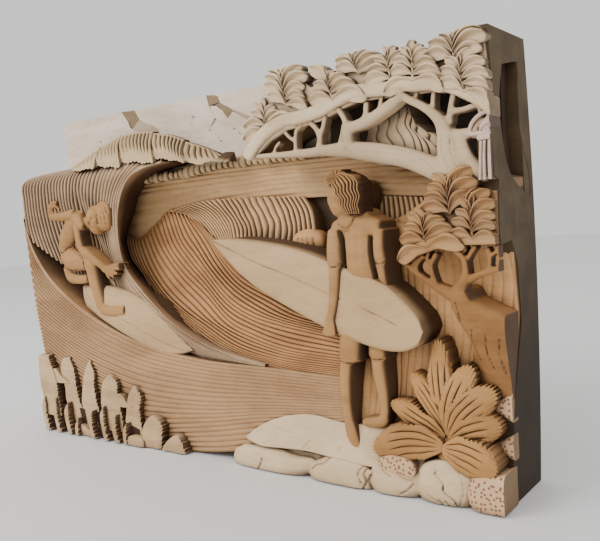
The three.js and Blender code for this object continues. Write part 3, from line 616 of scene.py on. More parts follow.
def makeWood(name, light, dark, streaks=0.5, bloom=0.12, stainAndRightShade=0.75, crevice=0.85, wall=0.5, lowShade=0.0, dotted=False):
    material = bpy.data.materials.new(name)
    material.use_nodes = True
    tree = material.node_tree
    tree.nodes.clear()
    w = Wiring(tree)
    where = w.node("ShaderNodeTexCoord").outputs["Object"]
    stretchedSpots = w.node("ShaderNodeMapping", Vector=where, Scale=(0.22, 1.0, 1.0)).outputs[0]
    warp = w.node("ShaderNodeTexNoise", Vector=where, Scale=4.0, Detail=2.0, Roughness=0.5)
    bent = w.node("ShaderNodeVectorMath", {"operation": "MULTIPLY_ADD"}, i0=warp.outputs["Color"],
                  i1=(0.06, 0.06, 0.06), i2=stretchedSpots).outputs[0]
    grain = w.node("ShaderNodeTexNoise", Vector=bent, Scale=float(woodShared["grainScale"]), Detail=6.0, Roughness=0.6)
    pores = w.node("ShaderNodeTexNoise", Vector=bent, Scale=float(woodShared["poreScale"]), Detail=3.0, Roughness=0.65)
    patches = w.node("ShaderNodeTexNoise", Vector=where, Scale=7.0, Detail=4.0, Roughness=0.55)

    def band(value, low, high):
        return w.node("ShaderNodeMapRange", {"interpolation_type": "SMOOTHSTEP"}, Value=value,
                      From_Min=low, From_Max=high).outputs[0]

    def mix(share, a, b, blend="MIX"):
        made = w.node("ShaderNodeMix", {"data_type": "RGBA", "blend_type": blend})
        w.feed(made.inputs["Factor"], share)
        w.feed(made.inputs[6], a)
        w.feed(made.inputs[7], b)
        return made.outputs[2]

    tone = mix(w.maths("MULTIPLY", band(grain.outputs[0], 0.38, 0.66), streaks), linear(light), linear(dark))
    tone = mix(w.maths("MULTIPLY", band(pores.outputs[0], 0.5, 0.78), 0.4 * streaks), tone, linear(woodShared["hollow"]))
    tone = mix(w.maths("MULTIPLY", band(patches.outputs[0], 0.55, 0.75), bloom), tone, linear(woodShared["bloom"]))
    tone = mix(w.maths("MULTIPLY", band(patches.outputs[0], 0.48, 0.3), 0.35), tone, linear(dark))
    normal = w.node("ShaderNodeSeparateXYZ", Vector=w.node("ShaderNodeNewGeometry").outputs["Normal"])
    # painted shade: sides that face right, away from the light, take the darker edge colour, together with their darker
    # end grain
    turned = w.maths("MULTIPLY", band(normal.outputs["X"], 0.45, 0.95), stainAndRightShade)
    tone = mix(turned, tone, linear(woodShared["edge"]))
    # painted shade: the walls darken towards their foot, deep in the undercuts
    foot = w.node("ShaderNodeAttribute", {"attribute_name": "wall"}).outputs["Fac"]
    tone = mix(w.maths("MULTIPLY", band(foot, 0.0, 0.45), wall), tone, linear(woodShared["hollow"]))
    spot = w.node("ShaderNodeSeparateXYZ", Vector=where)
    if lowShade:
        tone = mix(w.maths("MULTIPLY", band(spot.outputs["Z"], 0.14, -0.16), lowShade), tone, linear(woodShared["lowSide"]))
    relief = w.maths("ADD", w.maths("MULTIPLY", pores.outputs[0], 0.7), w.maths("MULTIPLY", grain.outputs[0], 0.6))
    # painted shade: dark dots stand for the shade inside the drilled pits, and the bump sinks them a little
    if dotted:
        flat = w.node("ShaderNodeCombineXYZ", X=spot.outputs["X"], Y=spot.outputs["Z"])
        cells = w.node("ShaderNodeTexVoronoi", {"voronoi_dimensions": "2D"}, Vector=flat.outputs[0],
                       Scale=1 / woodShared["dotSpacing"], Randomness=0.75)
        facing = w.maths("MULTIPLY", normal.outputs["Y"], -1.0)
        dot = w.maths("MULTIPLY", band(cells.outputs["Distance"], 0.3, 0.2), band(facing, 0.3, 0.6))
        tone = mix(w.maths("MULTIPLY", dot, 0.8), tone, linear(woodShared["dot"]))
        relief = w.maths("SUBTRACT", relief, w.maths("MULTIPLY", dot, 1.6))
    # painted shade: crevices and places under overhangs take the hollow colour, together with the stain left in the
    # hollows
    hidden = w.node("ShaderNodeAmbientOcclusion", {"samples": 6}, Distance=woodShared["creviceReach"])
    shade = w.maths("MULTIPLY", band(hidden.outputs["AO"], 0.75, 0.15), crevice)
    tone = mix(shade, tone, linear(woodShared["hollow"]))
    bump = w.node("ShaderNodeBump", Strength=0.35, Distance=0.0006)
    w.feed(bump.inputs["Height"], relief)
    shader = w.node("ShaderNodeBsdfPrincipled", Base_Color=tone, Roughness=0.72, Normal=bump.outputs[0])
    shader.inputs["Metallic"].default_value = 0.0
    shader.inputs["Specular IOR Level"].default_value = 0.28
    sink = w.node("ShaderNodeOutputMaterial")
    tree.links.new(shader.outputs[0], sink.inputs["Surface"])
    return material


skyWood = makeWood("skyWood", (235, 217, 195), (200, 178, 151), streaks=0.55, bloom=0.1, crevice=0.8)
# painted shade: darker copies of the sky's wood for the peaks' facets that face away from the light, a dimmer one for
# the gentler slopes
peakShadeWood = makeWood("peakShadeWood", (150, 126, 96), (112, 88, 62), streaks=0.5, bloom=0.1, crevice=0.8)
peakHalfShadeWood = makeWood("peakHalfShadeWood", (196, 174, 146), (158, 134, 106), streaks=0.5, bloom=0.1, crevice=0.8)
waterWood = makeWood("waterWood", (197, 166, 131), (149, 116, 83), streaks=0.5, bloom=0.16, wall=0.9)
frontWood = makeWood("frontWood", (189, 150, 108), (143, 101, 65), streaks=0.5, bloom=0.14, wall=0.9)
swellWood = makeWood("swellWood", (200, 149, 99), (146, 97, 57), streaks=0.5, bloom=0.1, wall=0.8)
foamWood = makeWood("foamWood", (212, 184, 142), (164, 129, 89), streaks=0.45, bloom=0.16, wall=0.9)
ribWood = makeWood("ribWood", (232, 190, 141), (182, 137, 92), streaks=0.5, bloom=0.12, wall=0.7)
seaWood = makeWood("seaWood", (218, 178, 129), (169, 128, 83), streaks=0.55, bloom=0.12)
boardWood = makeWood("boardWood", (207, 172, 127), (167, 132, 92), streaks=0.4, bloom=0.08, wall=0.9)
figureWood = makeWood("figureWood", (185, 140, 89), (141, 96, 55), streaks=0.45, bloom=0.05, stainAndRightShade=0.95, wall=0.9)
leafWood = makeWood("leafWood", (236, 210, 172), (180, 150, 114), streaks=0.5, bloom=0.16, crevice=0.8)
warmLeafWood = makeWood("warmLeafWood", (198, 154, 104), (142, 98, 60), streaks=0.55, bloom=0.12)
trunkWood = makeWood("trunkWood", (161, 115, 67), (113, 74, 41), streaks=0.55, bloom=0.08, stainAndRightShade=0.9)
rockWood = makeWood("rockWood", (206, 180, 144), (160, 128, 96), streaks=0.4, bloom=0.2)
stoneWood = makeWood("stoneWood", (234, 207, 166), (188, 155, 116), streaks=0.4, bloom=0.2)
dottedWood = makeWood("dottedWood", (230, 192, 148), (188, 146, 108), streaks=0.4, bloom=0.12, dotted=True)
coralWood = makeWood("coralWood", (214, 182, 139), (156, 120, 82), streaks=0.55, bloom=0.12, stainAndRightShade=0.9, wall=0.95)
shrubWood = makeWood("shrubWood", (192, 143, 86), (139, 95, 53), streaks=0.5, bloom=0.1)
bankWood = makeWood("bankWood", (238, 184, 124), (184, 132, 83), streaks=0.5, bloom=0.12)
postWood = makeWood("postWood", (214, 186, 168), (160, 126, 108), streaks=0.4, bloom=0.3, stainAndRightShade=0.9)
# the back and sides of the slab: dark brown, partly from the stained end grain and partly painted shade of faces turned
# from the light; darker towards the bottom
sideWood = makeWood("sideWood", (94, 77, 52), (57, 43, 27), streaks=0.6, bloom=0.06, stainAndRightShade=0.0, lowShade=0.85)
# painted shade: a dark copy for the lining deep in the hollow behind the branches
hollowShadeWood = makeWood("hollowShadeWood", (62, 49, 36), (38, 28, 20), streaks=0.5, bloom=0.05, stainAndRightShade=0.3)
shadeWood = makeWood("shadeWood", (62, 44, 30), (40, 26, 17), streaks=0.4, bloom=0.02)


# The slab and the plain sky on it
board = {"sides": 24}
boardTop = slab["halfHeight"] - slab["boardInset"]
outline = [(-slab["halfWidth"], boardTop), (-slab["halfWidth"], -boardTop)]
for step in range(board["sides"] + 1):
    outline.append((slab["reliefEnd"], boardTop * (2 * step / board["sides"] - 1)))
slabBoard = prismBody("slabBoard", outline, 0, slab["skyDepth"])
bowRightSide(slabBoard)
finishPiece(slabBoard, sideWood)

# Sky: a thin plate with a gently uneven, scraped face
sky = {"rough": 0.5, "grain": 14.0}
skyGrid = stretched([
    [[-400, 256, 29], [-400, 200, 29], [-400, 150, 29]],
    [[-180, 256, 30], [-180, 200, 29.5], [-180, 140, 29]],
    [[0, 256, 29.5], [0, 200, 30], [0, 140, 29]],
    [[120, 256, 29], [120, 200, 29], [120, 140, 29]],
    [[260, 256, 29], [260, 200, 29], [260, 140, 29]],
], 150, 50)
skyPlate = gridBody("sky", skyGrid, 20)
incise(skyPlate, [
    ([(-80, 221), (-62, 204), (-43, 186)], 2.4, 3.0), ([(-21, 205), (-4, 192)], 2.4, 3.0),
    ([(-286, 236), (-281, 229)], 2.6, 3.2), ([(-101, 234), (-95, 224)], 2.8, 3.6), ([(-112, 207), (-104, 198)], 2.4, 3.0),
    ([(-311, 215), (-307, 211)], 2.2, 2.6), ([(-76, 246), (-79, 224)], 2.6, 1.0), ([(-265, 240), (-264, 222)], 2.6, 1.0),
])
setAttribute(skyPlate, "pits", np.zeros(len(skyPlate.data.vertices)))
applyNodes(skyPlate, pittedTree, {"Spacing": 0.01, "Width": 0.3, "Depth": 0.0, "Rough": sky["rough"] * mm,
                                  "Grain": sky["grain"], "Seed": 2.0, "Material": skyWood})
trimToSlab(skyPlate)
finishPiece(skyPlate, skyWood)

# Two far peaks: lit left flanks, and facets that fall away to the right, painted darker as shade
peaks = {"floor": 24}
litFacets = [
    [(-306, 203, 29.6), (-290, 226, 32), (-281, 236, 31), (-272, 246, 33), (-258, 255.7, 35), (-245, 255.7, 36),
     (-233, 239, 35), (-229, 228, 34), (-209, 216, 32), (-250, 203, 29.6)],
    [(-116, 198, 29.6), (-104, 216, 31), (-97, 230, 33), (-92, 226, 31), (-74, 247, 34), (-61, 255.7, 36), (-58, 240, 35),
     (-50, 222, 33), (-66, 206, 29.6)],
    [(-58, 240, 34), (-44, 238, 35), (-33, 230, 35), (-25, 218, 33), (-14, 226, 34), (12, 211, 32), (22, 200, 29.6),
     (-30, 204, 29.6), (-50, 222, 33)],
]
darkFacets = [
    [(-245, 255.5, 35.6), (-221, 255, 30), (-211, 239, 30), (-230, 226, 32), (-237, 244, 34.4)],
    [(-61, 255.5, 35.6), (-45, 253, 30), (-41, 243, 31), (-58, 240, 34.6)],
    [(-44, 240, 34.6), (-41, 242, 31), (-25, 234, 30), (-12, 226, 30), (-25, 218, 33), (-33, 230, 34.6)],
]
dimFacets = [
    [(-228, 226, 32), (-211, 239, 31), (-197, 232, 30), (-180, 226, 29.8), (-164, 215, 29.6), (-212, 212, 31)],
    [(-24, 219, 33), (-11, 227, 30.4), (20, 214, 29.8), (26, 204, 29.6), (0, 212, 31)],
]
for name, facets, material in (("peaks", litFacets, skyWood), ("peakShades", darkFacets, peakShadeWood),
                               ("peakFoot", dimFacets, peakHalfShadeWood)):
    faceted = joinAll(name, [prismBody("facet", facet, peaks["floor"], 35) for facet in facets])
    finishPiece(faceted, material, 20)

# The open sea, with faint level ripples
sea = {"ripples": 9, "perRib": 6, "rows": 60, "cut": 1.5, "fullness": 1.1, "chatter": 0.6}
seaGrid = stretched([
    [[-262, 152, 37], [-160, 153, 37], [-60, 154, 37], [110, 154, 38], [320, 152, 44]],
    [[-264, 118, 34], [-160, 122, 35], [-60, 126, 36], [110, 127, 38], [320, 122, 48]],
    [[-264, 36, 33], [-160, 60, 34], [-60, 84, 36], [110, 95, 40], [320, 84, 52]],
], sea["ripples"] * sea["perRib"], sea["rows"])
seaGrid = swayed(seaGrid, 0.012, 1.0)
seaBody = ribbedBody("openSea", seaGrid, 14, sea["ripples"], sea, seaWood, seed=3)
finishPiece(seaBody, seaWood)

# Foam and far rocks in a row along the top of the sea
farRow = {"count": 36, "lowest": [(-190, 142), (-161, 142), (-122, 143), (-84, 146), (-52, 148), (-13, 150), (196, 152)]}
farX = np.linspace(farRow["lowest"][0][0], farRow["lowest"][-1][0], farRow["count"])
farZ = np.interp(farX, *zip(*farRow["lowest"])) + 3
spots = np.stack([farX, farZ, np.full(farRow["count"], 44.0)], 1)
rowHost = newObject("farRowHost", place(spots), [])
setAttribute(rowHost, "turn", np.zeros(farRow["count"]))
setAttribute(rowHost, "size", np.full(farRow["count"], mm))
drop = domeBody(0, 0, 6, 6.2, 8.0, -20, crown=0.9, around=14)
drop.data.transform(Matrix.Scale(1000, 4))
farDrops = applyNodes(rowHost, rowTree, {"Form": drop, "Smallest": 0.7, "Largest": 1.2, "Swing": 0.4, "Seed": 4,
                                         "Material": foamWood})
farDrops.name = "farFoam"
bpy.data.objects.remove(drop)
finishPiece(farDrops, foamWood, 50)

# S-shaped ribs that stand on the shoulder of the wave
curling = {"ribs": 28, "perRib": 8, "rows": 40, "cut": 5.0, "fullness": 0.8, "share": 0.6, "chatter": 0.4}
curlingGrid = stretched([
    [[-150, 92, 44], [-108, 84, 48], [-74, 58, 50], [-52, 30, 52]],
    [[-112, 98, 46], [-70, 84, 50], [-42, 58, 52], [-30, 30, 52]],
    [[-60, 104, 46], [-34, 86, 50], [-16, 64, 53], [-12, 34, 54]],
    [[0, 103, 46], [14, 82, 50], [26, 60, 54], [24, 34, 54]],
    [[64, 101, 46], [78, 80, 50], [86, 60, 54], [84, 34, 54]],
    [[110, 98, 46], [124, 80, 50], [130, 60, 54], [130, 30, 54]],
], curling["ribs"] * curling["perRib"], curling["rows"])
curlingGrid = swayed(curlingGrid, 0.004, 5.0)
curlingBody = ribbedBody("curlingRibs", curlingGrid, 14, curling["ribs"], curling, ribWood, seed=5)
finishPiece(curlingBody, ribWood)

behind = {"ribs": 13, "perRib": 8, "rows": 24, "cut": 4.0, "fullness": 0.8, "share": 0.6, "chatter": 0.4}
behindGrid = stretched([
    [[196, 92, 48], [198, 70, 53], [200, 40, 58]],
    [[240, 90, 50], [244, 68, 55], [246, 40, 60]],
    [[286, 86, 52], [292, 66, 57], [294, 40, 62]],
], behind["ribs"] * behind["perRib"], behind["rows"])
behindBody = ribbedBody("ribsBehindFigure", behindGrid, 14, behind["ribs"], behind, ribWood, seed=6)
finishPiece(behindBody, ribWood)

# The shaded swell inside the curl
swell = {"ribs": 24, "perRib": 10, "rows": 96, "cut": 4.4, "fullness": 0.6, "share": 0.5, "chatter": 0.5}
swellGrid = stretched([
    [[-254, 58, 36], [-249, 49, 45], [-236, 24, 50], [-204, -2, 57], [-167, -36, 66], [-102, -68, 80], [-47, -96, 90],
     [22, -114, 97], [109, -125, 100], [200, -129, 101]],
    [[-226, 54, 36], [-216, 45, 46], [-192, 7, 53], [-152, -28, 63], [-107, -52, 74], [-60, -71, 84], [13, -100, 94],
     [90, -113, 97], [200, -118, 99]],
    [[-188, 75, 36], [-175, 65, 46], [-154, 33, 52], [-113, -2, 62], [-55, -37, 75], [-6, -69, 85], [40, -83, 91],
     [100, -97, 94], [200, -104, 97]],
    [[-148, 96, 38], [-137, 85, 46], [-118, 49, 52], [-91, 25, 58], [-60, 2, 66], [-10, -36, 76], [36, -55, 84],
     [92, -67, 90], [200, -82, 94]],
    [[-106, 87, 42], [-94, 76, 50], [-66, 50, 54], [-34, 14, 60], [4, -15, 68], [58, -37, 76], [112, -56, 82],
     [200, -68, 87]],
    [[-90, 82, 44], [-76, 70, 52], [-45, 46, 56], [2, 14, 60], [75, -18, 66], [145, -36, 72], [200, -46, 76]],
], swell["ribs"] * swell["perRib"], swell["rows"])
swellGrid = swayed(swellGrid, 0.004, 2.0)
swellBody = ribbedBody("swell", swellGrid, 14, swell["ribs"], swell, swellWood, seed=7)
finishPiece(swellBody, swellWood)

# The same surface with its columns spread evenly, as measured level at a few heights
def evenColumns(grid, heights):
    level = np.array([np.interp([-z for z in heights], -column[:, 1], column[:, 0]) for column in grid])
    gap = np.abs(np.diff(level, axis=0)).mean(1) + 0.02
    run = np.concatenate([[0], np.cumsum(gap)])
    spots = np.interp(np.linspace(0, run[-1], len(run)), run, np.arange(len(run)))
    low = np.minimum(spots.astype(int), len(run) - 2)
    share = (spots - low)[:, None, None]
    return grid[low] * (1 - share) + grid[low + 1] * share


# The wave's face, from its top shelf down and round the rim of the curl; the wall behind the
# rim is undercut, and the ribs die out on a smooth lip.
rim = [[-92, 162, 106], [-138, 154, 108], [-172, 132, 109], [-188, 96, 109], [-191, 52, 109], [-180, 14, 110],
       [-142, -24, 112], [-84, -68, 114], [-16, -99, 111], [72, -118, 105]]
wave = {"ribs": 34, "perRib": 10, "rows": 104, "cut": 4.6, "fullness": 0.75, "share": 0.5, "chatter": 0.5,
        "smoothLip": 2.5, "lipStart": 0.22, "evenAt": (145, 120, 90, 60),
        "undercut": [(0, 20), (0.11, 35), (0.22, 46), (0.33, 52), (0.44, 78), (0.56, 66), (0.67, 52), (0.78, 44), (0.89, 30),
                     (1, 10)]}
waveGrid = stretched([
    [[-405, 178, 26], [-405, 152, 124], [-405, 122, 126.5], [-405, 96, 126.5], [-405, 70, 126]],
    [[-370, 180, 26], [-368, 156, 116], [-368, 122, 122], [-361, 74, 122], [-346, 34, 120]],
    [[-334, 182, 26], [-332, 158, 108], [-331, 120, 115], [-318, 62, 112], [-294, 4, 112]],
    [[-298, 184, 26], [-296, 160, 100], [-293, 118, 110], [-277, 52, 102], [-248, -16, 104]],
    [[-256, 186, 26], [-254, 161, 97], [-257, 116, 107], [-246, 46, 98], [-214, -28, 104], [-150, -82, 104], [-70, -110, 102]],
    [[-212, 187, 26], [-210, 162, 98], [-226, 114, 105], [-228, 60, 99], [-213, 8, 101], [-172, -38, 106],
     [-112, -80, 109], [-50, -108, 106], [60, -126, 100]],
    [[-162, 187, 26], [-158, 164, 101], [-198, 118, 106], [-206, 52, 104], [-191, 4, 106], [-145, -43, 110],
     [-84, -77, 113], [-16, -106, 110], [70, -122, 104]],
    rim,
], wave["ribs"] * wave["perRib"], wave["rows"])
waveGrid = swayed(evenColumns(waveGrid, wave["evenAt"]), 0.0035, 3.0)


def curlLean(cells, columns, rows):
    out = np.zeros((len(cells), 2))
    for i, (c, r) in enumerate(cells):
        if c == columns - 1:
            reach = np.interp(r / (rows - 1), *zip(*wave["undercut"]))
            out[i] = (-reach, -reach * 0.08)
    return out


# How far each spot of a grid is from its last column, along the surface
def fromLast(grid):
    gap = np.linalg.norm(np.diff(grid, axis=0), axis=-1)
    run = np.cumsum(gap[::-1], axis=0)[::-1]
    return np.concatenate([run, np.zeros((1, grid.shape[1]))])


lipHere = smoothStep(np.linspace(0, 1, waveGrid.shape[1])[None], wave["lipStart"], wave["lipStart"] + 0.15)
lipFade = smoothStep(fromLast(waveGrid), wave["smoothLip"], wave["smoothLip"] + 4)
waveStrength = 1 - lipHere * (1 - lipFade)
waveBody = ribbedBody("waveFace", waveGrid, 27, wave["ribs"], wave, waterWood, strength=waveStrength, lean=curlLean,
                      seed=8)
trimToSlab(waveBody)
finishPiece(waveBody, waterWood)

waveCore = prismBody("waveCore", [(-392, 96), (-392, -20), (-330, -70), (-240, -80), (-215, -44), (-254, 6), (-270, 50),
                                  (-300, 120)], 14, 50)
finishPiece(waveCore, waterWood)

# Foam on the crest: tongues that lean out over the wave, each one stepping up over the next
foam = {"perRib": 10, "rows": 44, "cut": 4.6, "fullness": 0.7, "share": 0.6, "chatter": 0.5, "floor": 58, "notch": 0.035}
tongues = [
    (8, [[[-344, 172, 60], [-334, 171, 76], [-322, 168, 86]], [[-306, 186, 66], [-294, 179, 86], [-281, 163, 101]],
         [[-266, 200, 68], [-253, 188, 88], [-237, 163, 107]]]),
    (7, [[[-276, 197, 66], [-262, 186, 85], [-244, 167, 98]], [[-242, 206, 68], [-226, 191, 89], [-206, 161, 104]],
         [[-214, 213, 69], [-199, 195, 91], [-174, 157, 109]]]),
    (10, [[[-226, 212, 67], [-210, 193, 87], [-186, 166, 99]], [[-182, 214, 69], [-163, 196, 91], [-142, 162, 105]],
          [[-142, 211, 69], [-124, 187, 93], [-103, 157, 110]]]),
    (9, [[[-156, 211, 67], [-138, 189, 88], [-115, 166, 99]], [[-112, 203, 69], [-94, 187, 91], [-76, 160, 105]],
         [[-80, 192, 68], [-64, 172, 92], [-44, 154, 109]]]),
    (8, [[[-96, 194, 66], [-80, 176, 87], [-58, 159, 98]], [[-62, 184, 67], [-44, 168, 90], [-24, 150, 104]],
         [[-38, 175, 66], [-18, 165, 84], [0, 152, 98]], [[-22, 167, 60], [-3, 160, 68], [11, 151, 79]]]),
]


def foamLean(cells, columns, rows):
    return np.array([(-4, 14) if r == rows - 1 else (0, 0) for c, r in cells], float)


def makeTongue(ribs, guides, seed):
    grid = stretched(guides, ribs * foam["perRib"], foam["rows"])
    share = np.linspace(0, 1, grid.shape[0])
    lengths = 1 - foam["notch"] * (1 - np.abs(np.sin(math.pi * share * ribs))) - 0.05 * np.abs(np.sin(7 * share + seed))
    grid = ragged(grid, lengths)
    v = np.linspace(0, 1, grid.shape[1])[None]
    fade = (1 - smoothStep(v, 0.55, 0.9)) * smoothStep(v, 0.0, 0.05)
    return ribbedBody("tongue", grid, foam["floor"], ribs, foam, foamWood, strength=fade, lean=foamLean, seed=seed)


foamBody = joinAll("crestFoam", [makeTongue(ribs, guides, 9.0 + i) for i, (ribs, guides) in enumerate(tongues)])
finishPiece(foamBody, foamWood)

# The smooth ledge and the broad water in front, down to the coral and the shore
front = {"ribs": 42, "perRib": 9, "rows": 104, "cut": 4.4, "fullness": 0.85, "share": 0.5, "chatter": 0.5}
ledge = [[-406, 122, 126], [-400, 98, 126.4], [-392, 72, 126.3], [-381, 45, 125.4], [-365, 19, 123.4], [-342, -7, 121.5],
         [-275, -52, 118.5], [-160, -97, 115.5], [-40, -117, 111], [70, -122, 105], [200, -128, 101]]


# The guide with one point at each x of the ledge, so that the ribs between them don't shear
def besideLedge(guide):
    path = smoothCurve(guide, 300)
    widths = [point[0] for point in ledge]
    return np.stack([widths] + [np.interp(widths, path[:, 0], path[:, axis]) for axis in (1, 2)], 1)


frontGrid = stretched([ledge] + [besideLedge(guide) for guide in (
    [[-406, -38, 119], [-320, -84, 117], [-220, -122, 115], [-110, -142, 112], [0, -146, 109], [100, -146, 105],
     [200, -146, 102]],
    [[-406, -108, 111], [-310, -150, 111], [-210, -176, 110], [-110, -184, 108], [0, -178, 107], [100, -168, 106],
     [200, -162, 104]],
    [[-406, -178, 104], [-310, -214, 104], [-210, -228, 105], [-110, -226, 106], [-20, -210, 106], [70, -194, 106],
     [200, -180, 106]],
    [[-406, -262, 98], [-310, -262, 98], [-210, -262, 100], [-110, -260, 104], [-20, -249, 106], [70, -232, 106],
     [200, -210, 106]],
)], front["ribs"] * front["perRib"], front["rows"])
frontGrid = swayed(frontGrid, 0.004, 6.0)
columns, rows = frontGrid.shape[:2]
across = np.linspace(0, 1, columns)[:, None]
frontStrength = smoothStep(across, 0.02, 0.035) * np.ones((1, rows))
frontMerge = smoothStep(np.linspace(0, 1, rows)[None], 0.55, 0.75) * np.ones((columns, 1))
frontBody = ribbedBody("frontWater", frontGrid, 14, front["ribs"], front, frontWood, strength=frontStrength,
                       merge=frontMerge, seed=10)
trimToSlab(frontBody)
finishPiece(frontBody, frontWood)



# The rider's surfboard, tail at the left, with a stringer line along it
riderBoard = {"columns": 60, "rows": 160, "edge": 5.0, "crown": 1.5}
boardGuides = [
    [[-292, -12, 102], [-240, -14, 112], [-200, -19, 114], [-147, -35, 115], [-100, -66, 113], [-54, -105, 108]],
    [[-285, -34, 106], [-236, -44, 116], [-184, -58, 119], [-132, -76, 118], [-88, -96, 114], [-53, -106, 108]],
    [[-277, -56, 108], [-232, -73, 114], [-167, -97, 117], [-118, -111, 116], [-78, -114, 112], [-54, -107, 107]],
]
boardGrid = stretched(boardGuides, riderBoard["columns"], riderBoard["rows"])
edgeShare = np.abs(np.linspace(-1, 1, boardGrid.shape[0]))[:, None]
boardGrid[..., 2] += riderBoard["crown"] * (1 - edgeShare**2) - riderBoard["edge"] * edgeShare**10
riderBoardBody = gridBody("riderBoard", boardGrid, 70)
incise(riderBoardBody, [([(-200, -60), (-160, -74), (-110, -94), (-70, -106)], 1.3, 1.6),
                        ([(-278, -26), (-264, -38), (-252, -44)], 1.3, 2.0)])
finishPiece(riderBoardBody, boardWood)

# The crouching rider, turned to the front, with one hand up and one stretched ahead
rider = {"floor": 84, "grain": 1.35, "softness": 3}
riderFloor = rider["floor"]
riderParts = [
    limbBody([[-284, 92, 112, 15], [-299, 76, 118, 18], [-313, 58, 119, 17], [-320, 42, 117, 15]], riderFloor, swell=0.8),
    limbBody([[-286, 91, 117, 10], [-276, 85, 119, 10.5], [-268, 76, 120, 9]], riderFloor),
    limbBody([[-264, 84, 112, 9], [-250, 80, 112, 11]], riderFloor),
    limbBody([[-290, 97, 118, 8.4], [-318, 95, 117, 7.6], [-342, 96, 118, 7]], riderFloor),
    limbBody([[-342, 97, 118, 7], [-342, 106, 119, 6], [-338, 113, 120, 5]], riderFloor),
    limbBody([[-337, 111, 120, 5], [-332, 116, 120, 4.6]], riderFloor),
    limbBody([[-332, 112, 120, 2.8], [-325, 112, 119, 2.4], [-318, 106, 117, 2.0]], riderFloor),
    limbBody([[-330, 118, 120, 2.6], [-322, 118, 119, 2.2]], riderFloor),
    limbBody([[-275, 77, 123, 8.5], [-270, 58, 125, 8], [-265, 44, 125, 7.5]], riderFloor),
    limbBody([[-264, 42, 125, 7.2], [-240, 27, 124, 6.2], [-217, 13, 123, 5]], riderFloor),
    limbBody([[-217, 12, 123, 5.6], [-206, 9, 122, 7]], riderFloor, swell=0.5),
    limbBody([[-205, 13, 122, 2.9], [-194, 17, 121, 2.5], [-185, 18, 120, 2.2]], riderFloor + 14),
    limbBody([[-204, 10, 122, 2.9], [-194, 12, 121, 2.5], [-185, 11, 120, 2.2]], riderFloor + 14),
    limbBody([[-206, 8, 122, 2.9], [-197, 6, 121, 2.5], [-190, 4, 120, 2.2]], riderFloor + 14),
    limbBody([[-208, 6, 122, 2.8], [-202, 2, 121, 2.4], [-198, -1, 120, 2.2]], riderFloor + 14),
    limbBody([[-211, 5, 122, 2.8], [-209, 0, 121, 2.4], [-207, -3, 120, 2.2]], riderFloor + 14),
    limbBody([[-316, 31, 119, 15], [-300, 26, 122, 18], [-276, 22, 122, 14]], riderFloor, swell=0.7),
    limbBody([[-276, 24, 122, 13], [-260, 20, 123, 12]], riderFloor, swell=0.7),
    limbBody([[-251, 20, 123, 13], [-247, 6, 124, 13.5], [-242, -14, 124, 13], [-232, -46, 123, 11.5]], riderFloor),
    limbBody([[-230, -50, 123, 9.5], [-206, -53, 124, 9.0], [-178, -51, 123.5, 8.4]], riderFloor, swell=0.8, blunt=0.3),
    limbBody([[-316, 12, 116, 9], [-309, -1, 117, 9], [-300, -5, 117, 8]], riderFloor),
    limbBody([[-302, -3, 118, 8], [-284, -5, 118, 7.6], [-268, -4, 117, 6.6]], riderFloor, swell=0.7),
    domeBody(-241, 86, 121, 16, 23, riderFloor, crown=0.95, turn=0.15),
    domeBody(-226, 91, 116, 22, 23, riderFloor, crown=0.6, turn=-0.1),
]
riderBody = fuse(joinAll("rider", riderParts), rider["grain"], rider["softness"])
press(riderBody, [
    (-300, 62, 9, 12, 1.5), (-283, 60, 6, 12, 3.0), (-296, 84, 10, 5, 1.2), (-312, 44, 7, 4, 1.4),
    (-241, 93, 10, 2.5, -1.2), (-246.5, 88, 2.8, 2.0, 2.6), (-235.5, 88, 2.8, 2.0, 2.6), (-241, 82, 2.0, 5.0, -3.6),
    (-241, 77.5, 3.0, 1.5, -1.4), (-241, 71, 4.0, 1.5, -0.8), (-241, 65, 4.5, 3, -1.2), (-251, 79, 3, 6, 0.9),
    (-231, 79, 3, 6, 0.9),
])
incise(riderBody, [
    ([(-330, 42), (-318, 37), (-309, 44), (-300, 47)], 1.6, 3.0),
    ([(-274, 34), (-262, 26), (-262, 10), (-268, 5)], 1.8, 3.2),
    ([(-318, 14), (-300, 9), (-282, 10), (-270, 5)], 1.6, 3.0),
    ([(-245.5, 74), (-241, 73.3), (-236.5, 74)], 1.2, 1.1),
    ([(-256, 97), (-249, 102), (-240, 103), (-231, 99), (-228, 90), (-228, 80)], 1.6, 2.2),
    ([(-246, 105), (-232, 111), (-216, 107), (-209, 96)], 1.5, 1.5),
    ([(-236, 107), (-222, 106), (-214, 94), (-214, 78)], 1.5, 1.5),
    ([(-226, 102), (-221, 92), (-221, 78)], 1.5, 1.5),
    ([(-238, 29), (-222, 21), (-208, 14)], 1.2, 0.8),
    ([(-250, 2), (-238, -28), (-232, -46)], 1.2, 0.6),
    ([(-176, -44), (-176, -58)], 1.4, 1.6), ([(-222, -60), (-198, -59), (-178, -58)], 1.2, 1.4),
])
finishPiece(riderBody, figureWood, 60)

# The standing figure's board, held under the arm: its two long edges from nose to tail
tallBoard = {
    "upper": [(5, 48.2), (24, 48.6), (48, 47), (99, 40), (146, 30), (185, 17), (211, 8), (252, -7), (271, -17), (289, -32),
              (306, -50), (311, -62.4)],
    "lower": [(5, 47.2), (20, 31), (35, 16), (50, 2), (69, -12), (93, -25), (117, -37), (162, -57), (197, -71), (226, -80),
              (246, -85), (266, -88), (288, -86), (304, -77), (311, -63.6)],
    "front": 119, "rail": 4.0, "crown": 1.0, "columns": 56, "rows": 200,
}


def edgeAlong(edge, shares):
    path = smoothCurve(edge, 600)
    nose, tail = np.array(tallBoard["upper"][0]), np.array(tallBoard["upper"][-1])
    run = (path - nose) @ (tail - nose) / np.sum((tail - nose) ** 2)
    run = np.maximum.accumulate((run - run[0]) / (run[-1] - run[0]))
    return np.stack([np.interp(shares, run, path[:, axis]) for axis in range(2)], 1)


